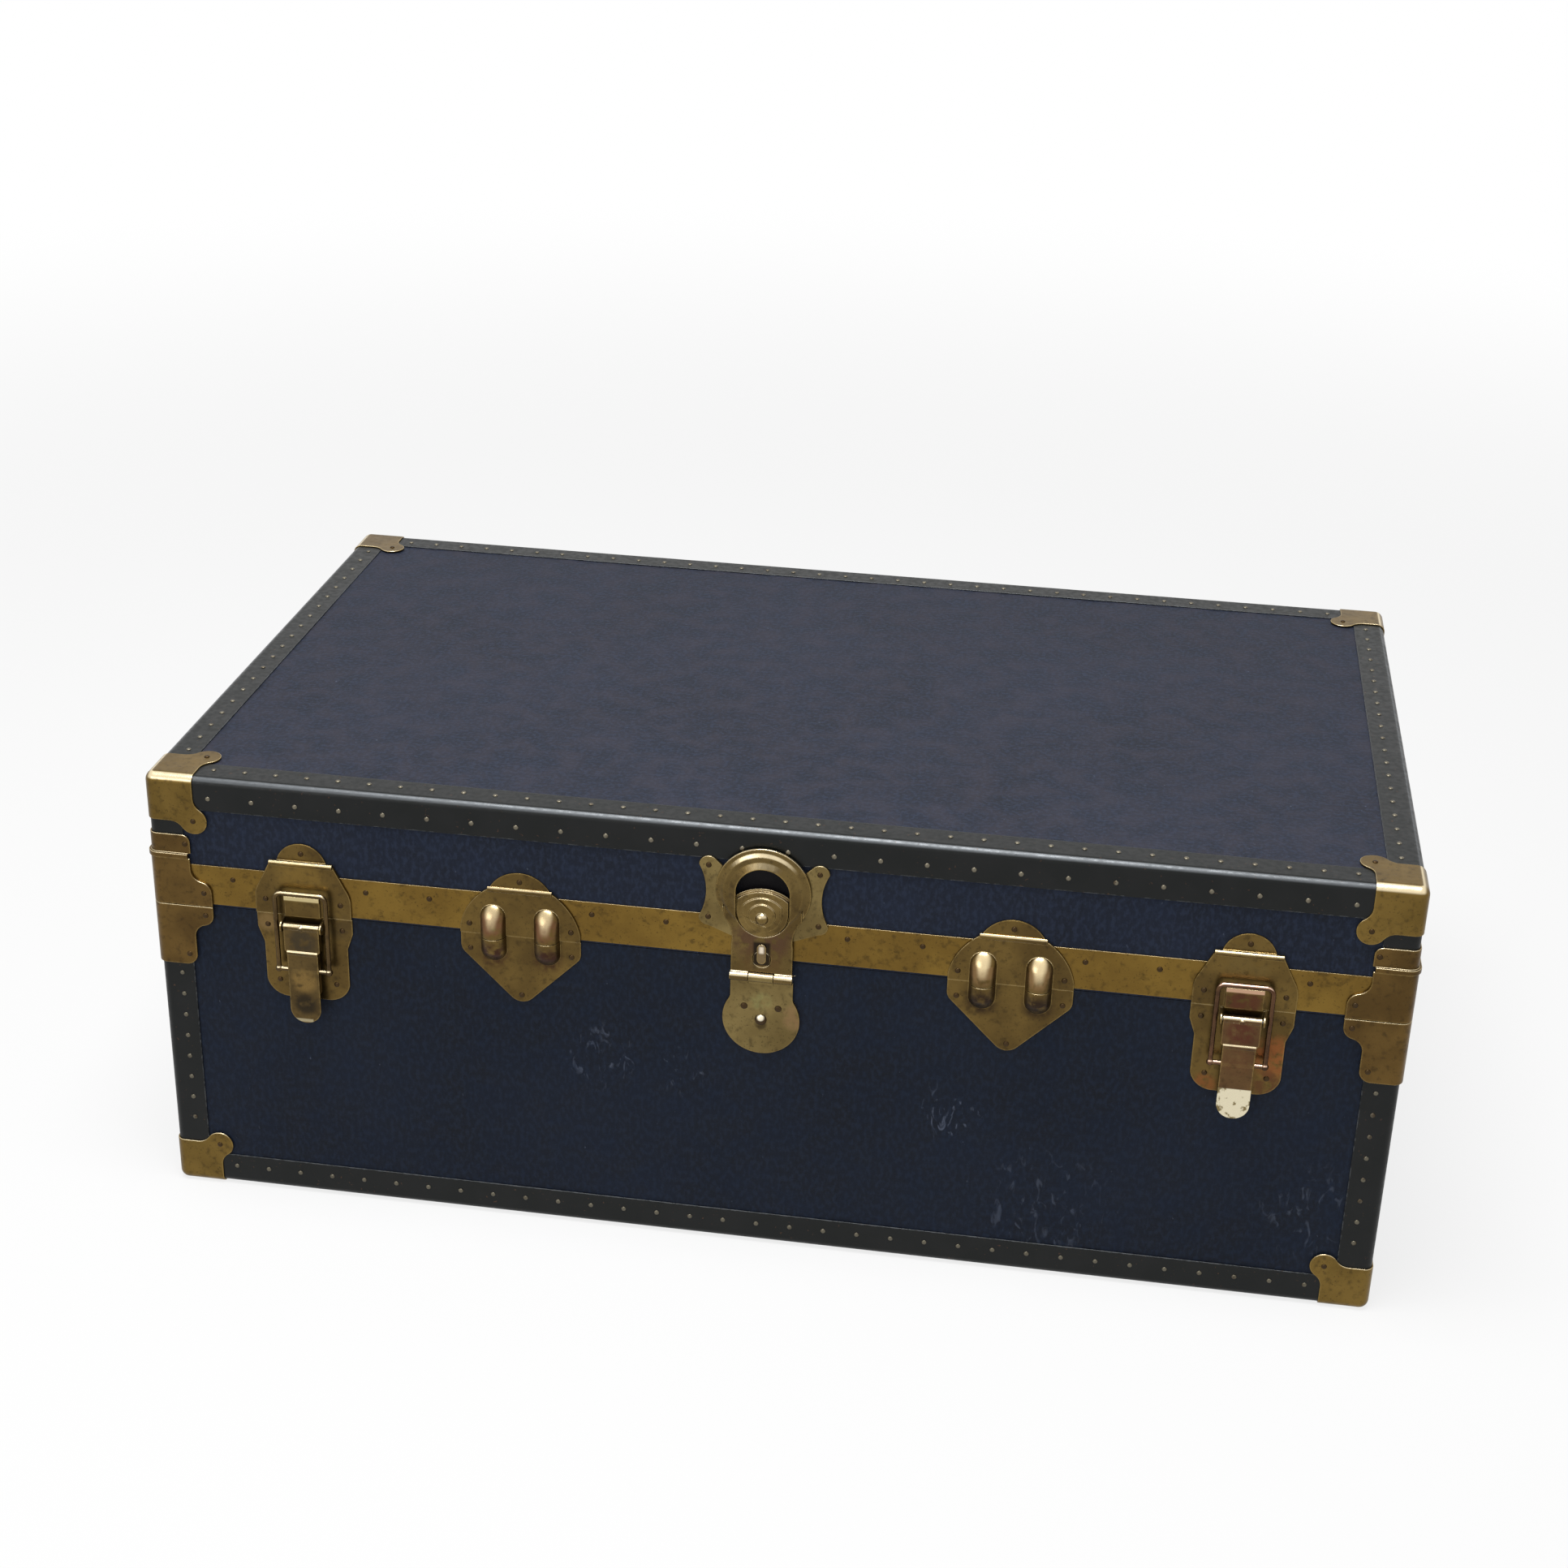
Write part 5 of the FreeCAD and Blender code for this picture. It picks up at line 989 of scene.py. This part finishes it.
@dataclass
class DrawBolt(FrontFitting):
    """A draw bolt: plates on case and lid, a lever, its pin and the loop."""

    place: float = 0.343
    copper: Colour = (140, 82, 44)
    umber: Colour = (84, 48, 34)
    tab_level: float = 0.1845
    step_top: float = 0.2925

    def left_brass(self) -> tuple[Brass, Brass, tuple[Stain, ...], Colour]:
        """Returns the left lever's and loop's brass, and the plates' stains and the colour of the painted
        highlight on their catch lip.
        """
        # On the thumb tab, the dark patch at 176 mm is painted shade and the pale band at 162.2 mm is a
        # painted highlight on its rim.
        stains = (self.stain(0, 10, 229, 14, (62, 54, 40)),
                  self.stain(0, 10, 196, 13, (140, 112, 62), 0.6),
                  self.stain(0, 9, 176, 12, (44, 37, 26), 0.9))
        lever = Brass("lever_brass_left", (70, 56, 32), (104, 84, 48), roughness=0.3, stains=stains,
                      bands=(self.band(-2, 162.2, 7, 0.9, (168, 156, 124)),))
        loop = Brass("loop_brass_left", (62, 48, 30), (92, 72, 42), roughness=0.28)
        spots = (self.stain(0, 2, 278, 22, (128, 102, 48), 0.6),
                 self.stain(26, 1, 240, 15, (74, 60, 36), 0.6),
                 self.stain(-29, 1, 238, 10, (138, 112, 72), 0.5))
        return lever, loop, spots, (208, 190, 140)

    def right_brass(self) -> tuple[Brass, Brass, tuple[Stain, ...], Colour]:
        """Returns the same for the right one, which is redder, with a thumb tab gone bare."""
        stains = (self.stain(0, 10, 230, 14, self.umber, 0.9), self.stain(0, 10, 207, 14, self.umber, 0.35))
        lever = Brass("lever_brass_right", (78, 56, 36), (108, 82, 50), roughness=0.3, stains=stains,
                      bare=BareMetal(self.tab_level))
        loop = Brass("loop_brass_right", (62, 42, 30), (104, 72, 52), bright=(238, 202, 176),
                     roughness=0.28)
        spots = (self.stain(0, 2, 280, 20, (104, 86, 48), 0.5),
                 self.stain(27, 1, 208, 22, self.copper, 0.7),
                 self.stain(24, 1, 186, 16, self.umber, 0.6),
                 self.stain(-22, 1, 180, 12, self.copper, 0.5),
                 self.stain(0, 5, 254, 17, self.umber, 0.85))
        return lever, loop, spots, (204, 164, 134)

    def build(self) -> None:
        """Makes the bolt's pieces."""
        word = self.side.word
        lever, loop, spots, lip = self.left_brass() if self.side is Side.LEFT else self.right_brass()
        # The band across the catch lip is a painted highlight.
        plates = Brass(f"bolt_brass_{word}", stains=spots, bands=(self.band(0, 261.9, 13, 1.1, lip),),
                       bright=(232, 214, 170), rounding=0.9 * MM, top=self.step_top).material()
        self.work_up(f"draw_bolt_base_{word}", plates)
        self.work_up(f"draw_bolt_catch_{word}", plates)
        self.work_up(f"draw_bolt_lever_{word}", lever.material(), 0.3 * MM)
        self.work_up(f"draw_bolt_loop_{word}", loop.material(), 0.2 * MM)
        self.work_up(f"draw_bolt_pin_{word}", DullSteel(f"bolt_pin_steel_{word}").material(), 0.2 * MM)


@dataclass
class Dowels(FrontFitting):
    """A pair of dowels: the pin plate on the lid and the socket plate on the case."""

    place: float = 0.179
    spread: float = 20 * MM
    half_width: float = 9.7 * MM
    half_height: float = 23 * MM
    skin: float = FRONT - 1.6 * MM
    seam: float = 0.248
    sink: float = 0.6
    rows: int = 12
    step_top: float = 0.287

    def belly(self, work: BMesh) -> None:
        """Gives the domes of a plate the belly of an egg, so that they fall away above and below."""
        bottom = self.seam - self.half_height
        for row in range(1, self.rows):
            level = bottom + 2 * self.half_height * row / self.rows
            dome = [face for face in work.faces if max(vert.co.y for vert in face.verts) < self.skin
                    and self.astride(face.calc_center_median().x)]
            parts = {part for face in dome for part in (*face.verts, *face.edges, face)}
            bmesh.ops.bisect_plane(work, geom=list(parts), dist=MERGE, plane_co=(0, 0, level),
                                   plane_no=(0, 0, 1))
        for vert in work.verts:
            if vert.co.y < self.skin and self.astride(vert.co.x):
                share = (vert.co.z - self.seam) / self.half_height
                depth = (vert.co.y - self.skin) * (1 - self.sink * min(1.0, share * share))
                vert.co.y = self.skin + depth

    def astride(self, x: float) -> bool:
        """Tells whether a place along the front lies within a dome's width."""
        return abs(abs(x - self.middle) - self.spread) < self.half_width

    def build(self) -> None:
        """Makes both plates, with domes that carry a painted highlight above and painted shade below, and
        are redder and duller on the left.
        """
        crown_highlight, shade, wear = (138, 108, 72), (44, 31, 22), Wear.RUBBED
        if self.side is Side.LEFT:
            crown_highlight, shade, wear = (116, 78, 56), (58, 34, 24), Wear.HANDLED
        # Each dome gets a painted highlight high up and painted shade on its lower half.
        domes = tuple(self.stain(way * self.spread / MM, 9, height, radius, colour, share)
                      for way in (-1, 1)
                      for height, radius, colour, share in ((258, 13, crown_highlight, 0.7), (230, 17, shade, 0.95)))
        brass = Brass(f"dowel_brass_{self.side.word}", wear=wear, stains=domes, turn=0.06, aside=0.52,
                      bright=(236, 214, 168), top=self.step_top).material()
        for plate in ("pin", "socket"):
            self.work_up(f"dowel_{plate}_plate_{self.side.word}", brass, form=self.belly)


@dataclass
class Lock(FrontFitting):
    """The lock: plates on case and lid, and the hasp with all that moves in it."""

    def build(self) -> None:
        """Makes the lock's pieces."""
        # Painted shade under the boss (the first patch), then a greenish and a coppery stain on the plate.
        patches_and_shade = (self.stain(0, 2, 193.5, 6, (62, 50, 28), 0.85),
                  self.stain(0, 2, 212.5, 10, (140, 136, 86), 0.5),
                  self.stain(26, 2, 201.5, 14, (140, 108, 76), 0.5))
        neck = (self.stain(0, 6, 266, 27, (84, 60, 44)), self.stain(0, 6, 245, 20, (88, 66, 36), 0.6))
        # Settings for painted highlights along the whole upper arcs of the ring's and slide's beads.
        bead_highlights = {"rounding": 1.3 * MM, "aside": 0.95, "level": 2}
        plate = Brass("lock_plate_brass", (96, 80, 46), (134, 116, 72), wear=Wear.HANDLED,
                      stains=patches_and_shade, level=2).material()
        # The dark band round the keyhole cover on the hasp is painted shade, as if the cover sat in a slot.
        hasp = Brass("hasp_brass", metal=(112, 93, 53), roughness=0.27, stains=neck,
                     bands=(self.band(0, 253.8, 5, 8.2, (30, 24, 18), 2.4),), **bead_highlights).material()
        slide = Brass("slide_brass", metal=(130, 108, 62), wear=Wear.HANDLED, roughness=0.28,
                      **bead_highlights).material()
        # The pale band down the keyhole cover is a painted highlight.
        cover = Brass("keyhole_cover_brass", (96, 78, 52), (132, 112, 78), roughness=0.24,
                      bands=(self.band(0, 257.5, 0.5, 1.6, (240, 226, 204), 2.2),)).material()
        self.work_up("lock_base_plate", plate)
        self.work_up("lock_lid_plate", plate)
        self.work_up("lock_hasp", hasp, 0.5 * MM, turn=30)
        self.work_up("lock_slide", slide, 0.4 * MM, turn=30)
        self.work_up("lock_cylinder", hasp, 0.2 * MM)
        self.work_up("lock_keyhole_cover", cover, 0.3 * MM)
        self.work_up("lock_hinge_pin", DullSteel("lock_pin_steel").material(), 0.2 * MM)


@dataclass
class BackHinges(SubAssembly):
    """The three hinges at the back, with their pins, and the dowel pins."""

    def build(self) -> None:
        """Makes leaves and pins."""
        brass = Brass("hinge_brass", wear=Wear.RESTING).material()
        self.work_up("hinge_case_leaves", brass)
        self.work_up("hinge_lid_leaves", brass)
        self.work_up("hinge_pins", DullSteel("hinge_pin_steel").material(), 0.2 * MM)
        self.work_up("dowel_pins", Brass("dowel_pin_brass").material(), 0.2 * MM)


@dataclass
class EndHandle(SubAssembly):
    """A handle on an end: plates, a steel bail and a leather grip sewn round it."""

    side: Side
    rings: int = 44
    turns: int = 36
    belly: float = 9.6 * MM
    neck: float = 6.5 * MM
    fullness: float = 0.8
    lip: float = 0.93
    lip_drop: float = 1.2 * MM
    crease: float = 0.18 * MM
    seam_height: float = 0.5 * MM
    seam_turn: float = 0.16
    seam_angle: float = math.radians(-90)
    stitch_angle: float = 0.3
    sewn_share: float = 0.9
    seam_steps: int = 24
    stitches: int = 15
    stitch_length: float = 3.6 * MM
    stitch_radius: float = 0.45 * MM
    seed: int = 7

    @cached_property
    def ends(self) -> tuple[Vector, Vector]:
        """The lowest and highest corner of the CAD model's grip."""
        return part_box(f"handle_grip_{self.side.word}")

    def skin(self, share: float, angle: float) -> Vector:
        """Finds a point on the leather, with the ridge of its seam.

        Args:
            share: the place along the grip, from -1 to 1.
            angle: the place round it.

        Returns:
            The point.
        """
        low, high = self.ends
        reach = self.neck + (self.belly - self.neck) * math.cos(share * math.pi / 2) ** self.fullness
        reach -= self.lip_drop * max(0.0, (abs(share) - self.lip) / (1 - self.lip)) ** 2
        turn = (angle - self.seam_angle + math.pi) % (2 * math.pi) - math.pi
        reach += self.seam_height * math.exp(-((turn / self.seam_turn) ** 2)) * (1 - share ** 8)
        x, z = math.cos(angle), math.sin(angle)
        reach += self.crease * noise.noise(Vector((share * 9, x * 1.5, z * 1.5)))
        return (low + high) / 2 + Vector((x * reach, share * (high.y - low.y) / 2, z * reach))

    def grip(self) -> None:
        """Shapes the leather round the bail."""
        work = bmesh.new()
        rows = [[work.verts.new(self.skin(2 * i / self.rings - 1, 2 * math.pi * j / self.turns))
                 for j in range(self.turns)] for i in range(self.rings + 1)]
        bridge(work, rows, closed=True)
        for row in (rows[0], rows[-1]):
            hub = work.verts.new(sum((v.co for v in row), Vector()) / self.turns)
            for j in range(self.turns):
                work.faces.new((row[j], row[(j + 1) % self.turns], hub))
        bmesh.ops.recalc_face_normals(work, faces=work.faces)
        piece = linked(f"leather_grip_{self.side.word}", work)
        piece.data.materials.append(GripLeather(f"grip_leather_{self.side.word}").material())
        settle(piece, f"handle_grip_{self.side.word}")

    def stitch_tree(self) -> GrowthTree:
        """Builds the tree that lays a stitch at each point of a seam, along its tangent."""
        growth = GrowthTree("seam_stitches")
        radius = growth.ask("Radius", "Float")
        length = growth.ask("Length", "Float")
        count = growth.ask("Count", "Int")
        path = growth.add("MeshToCurve", {"Mesh": growth.inlet.outputs["Geometry"]})[0]
        path = growth.add("ResampleCurve", {"Curve": path, "Count": count})[0]
        ball = growth.add("MeshIcoSphere", {"Radius": 1.0, "Subdivisions": 2})[0]
        size = growth.add("ShaderNodeCombineXYZ", {"X": radius, "Y": radius, "Z": length})[0]
        growth.scatter(path, ball, growth.add("InputTangent")[0],
                       growth.resize(size, 0.88, 1.08, self.seed))
        return growth

    def sew(self) -> None:
        """Sews the seam along both sides of its ridge."""
        mesh = bpy.data.meshes.new("seam_path")
        points, pairs = [], []
        for turn in (-self.stitch_angle, self.stitch_angle):
            for i in range(self.seam_steps + 1):
                share = (2 * i / self.seam_steps - 1) * self.sewn_share
                if i:
                    pairs.append((len(points) - 1, len(points)))
                points.append(self.skin(share, self.seam_angle + turn))
        mesh.from_pydata(points, pairs, [])
        thread = WaxedThread(f"waxed_thread_{self.side.word}").material()
        piece = self.stitch_tree().grow(f"grip_stitches_{self.side.word}", mesh, Radius=self.stitch_radius,
                                        Length=self.stitch_length / 2, Count=self.stitches, Material=thread)
        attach(piece, f"handle_{self.side.word}")
        log.info("%s rides on handle_%s", piece.name, self.side.word)

    def build(self) -> None:
        """Makes the handle's pieces."""
        word = self.side.word
        brass = Brass(f"handle_brass_{word}", wear=Wear.RESTING).material()
        self.work_up(f"handle_plates_{word}", brass)
        self.work_up(f"handle_bail_{word}", DullSteel(f"bail_steel_{word}").material(), 0.3 * MM)
        self.grip()
        self.sew()


@dataclass
class Fasteners(SubAssembly):
    """The domed heads of all tacks, nails and rivets."""

    turns: int = 12
    rings: int = 8
    # A painted highlight: the boss head on the lock base is made near-white.
    boss: Stain = Stain((0, -0.2705, 0.2), 3.4 * MM, (244, 234, 208))
    boss_node: str = "case_hardware_nails"
    spot: Colour = (60, 48, 34)
    uneven: float = 0.06
    lean: float = 0.07
    seed: int = 36
    finishes: tuple[tuple[str, Colour], ...] = (
        ("case_binding_tacks", (100, 95, 82)), ("lid_binding_tacks", (112, 106, 92)),
        ("case_hardware_nails", (66, 50, 30)), ("lid_hardware_nails", (62, 47, 28)))

    def head_tree(self) -> GrowthTree:
        """Builds the tree that sets a domed head on each point, out along its facing."""
        growth = GrowthTree("fastener_heads")
        turns = growth.ask("Turns", "Int")
        rings = growth.ask("Rings", "Int")
        uneven = growth.ask("Uneven", "Float")
        lean = growth.ask("Lean", "Float")
        dome = growth.add("MeshUVSphere", {"Segments": turns, "Rings": rings, "Radius": 1.0})[0]
        facing, size = (growth.add("InputNamedAttribute", {"Name": name}, data_type="FLOAT_VECTOR")[0]
                        for name in ("facing", "size"))
        drift = growth.add("FunctionNodeRandomValue", {0: (-1, -1, -1), 1: (1, 1, 1), "Seed": self.seed + 1},
                           data_type="FLOAT_VECTOR")[0]
        drift = growth.vector("SCALE", {0: drift, "Scale": lean})[0]
        facing = growth.vector("ADD", {0: facing, 1: drift})[0]
        least = growth.math("SUBTRACT", 1.0, uneven)
        growth.scatter(growth.inlet.outputs["Geometry"], dome, facing,
                       growth.resize(size, least, 1.0, self.seed))
        return growth

    def points(self, node: str) -> bpy.types.Mesh:
        """Finds where a CAD node has its heads.

        Args:
            node: the CAD node.

        Returns:
            A mesh of points, each with the way it faces and its size.
        """
        places, facings, sizes = [], [], []
        for low, high in islands(node):
            size = high - low
            thin, way = outward(low, high)
            place, facing = (low + high) / 2, Vector((0, 0, 0))
            place[thin] = low[thin] if way > 0 else high[thin]
            facing[thin] = way
            places.append(place)
            facings.extend(facing)
            sizes.extend((max(size) / 2, max(size) / 2, size[thin]))
        mesh = bpy.data.meshes.new(node + "_points")
        mesh.from_pydata(places, [], [])
        for name, values in (("facing", facings), ("size", sizes)):
            mesh.attributes.new(name, "FLOAT_VECTOR", "POINT").data.foreach_set("vector", values)
        return mesh

    def build(self) -> None:
        """Sets all the heads."""
        growth = self.head_tree()
        for node, colour in self.finishes:
            metal = DullSteel(node + "_metal", colour, self.spot, 0.4,
                              self.boss if node == self.boss_node else None)
            piece = growth.grow(node + "_heads", self.points(node), Turns=self.turns, Rings=self.rings,
                                Uneven=self.uneven, Lean=self.lean, Material=metal.material())
            settle(piece, node)


@dataclass
class Studio:
    """A white floor, soft light from above and the camera of the photograph."""

    place: Point = (0.2338, -1.8202, 1.1253)
    heading: float = math.radians(8.124)
    pitch: float = math.radians(-25.18)
    roll: float = math.radians(1.59)
    lens: float = 57.12
    sensor: float = 36.0
    clip: tuple[float, float] = (0.05, 200)
    floor_half: float = 30.0
    floor_shown: Colour = (231, 231, 231)
    white: float = 0.8
    ambient: float = 0.26
    glow: float = 0.8
    glow_reach: tuple[float, float] = (1.2, 3.5)

    def camera(self) -> None:
        """Puts the camera where the photograph was taken from."""
        data = bpy.data.cameras.new("camera")
        data.lens = self.lens
        data.sensor_width = self.sensor
        data.clip_start, data.clip_end = self.clip
        camera = placed("camera", data)
        turn = Matrix.Rotation(self.heading, 4, "Z") @ Matrix.Rotation(math.pi / 2 + self.pitch, 4, "X")
        camera.matrix_world = Matrix.Translation(self.place) @ turn @ Matrix.Rotation(self.roll, 4, "Z")
        bpy.context.scene.camera = camera

    def floor(self) -> None:
        """Lays the floor, which shows white but keeps the trunk's shadow."""
        half = self.floor_half
        corners = [(-half, -half, 0), (half, -half, 0), (half, half, 0), (-half, half, 0)]
        mesh = bpy.data.meshes.new("floor")
        mesh.from_pydata(corners, [], [(0, 1, 2, 3)])
        floor = placed("floor", mesh)
        graph = Graph("white_floor", self.floor_shown)
        matt = graph.add("BsdfDiffuse", {"Color": (self.white,) * 3})[0]
        glow = graph.add("Emission", {"Color": (1, 1, 1), "Strength": 1.0})[0]
        away = graph.vector("LENGTH", {0: graph.place})["Value"]
        share = graph.times(graph.seen(), graph.between(away, *self.glow_reach, self.glow, 1))
        both = graph.add("MixShader", {0: share, 1: matt, 2: glow})[0]
        graph.add("OutputMaterial", {"Surface": both})
        floor.data.materials.append(graph.material)

    def world(self) -> None:
        """Surrounds the scene with plain light that shows as white."""
        world = bpy.data.worlds.new("studio")
        world.use_nodes = True
        tree = NodeTree(world.node_tree)
        strength = tree.add("MapRange", {"Value": tree.seen(), "To Min": self.ambient, "To Max": 1.0})[0]
        back = tree.add("Background", {"Color": (1, 1, 1), "Strength": strength})[0]
        tree.add("OutputWorld", {"Surface": back})
        bpy.context.scene.world = world

    def lamp(self, name: str, place: Point, target: Point, size: tuple[float, float],
             power: float) -> None:
        """Hangs a softbox.

        Args:
            name: the lamp's name.
            place: where it hangs.
            target: what it looks at.
            size: its width and height.
            power: its power in watts.
        """
        data = bpy.data.lights.new(name, "AREA")
        data.shape = "RECTANGLE"
        data.size, data.size_y = size
        data.energy = power
        aim = (Vector(target) - Vector(place)).to_track_quat("-Z", "Y")
        placed(name, data).matrix_world = Matrix.Translation(place) @ aim.to_matrix().to_4x4()

    def build(self) -> None:
        """Sets the whole stage."""
        bpy.context.scene.view_settings.view_transform = "Standard"
        self.camera()
        self.floor()
        self.world()
        self.lamp("sky_softbox", (-0.15, -0.55, 2.7), (0, -0.1, 0.2), (1.5, 1.1), 72)
        self.lamp("front_softbox", (-1.8, -3.0, 1.5), (0, 0, 0.2), (1.8, 1.8), 20)
        log.info("the studio is set")


def main() -> None:
    """Builds the trunk in order, then the studio."""
    Carcass().build()
    Bindings().build()
    CornerBrass().build()
    for side in Side:
        DrawBolt(side).build()
        Dowels(side).build()
        EndHandle(side).build()
    Lock().build()
    BackHinges().build()
    Fasteners().build()
    Studio().build()


if __name__ == "__main__":
    main()
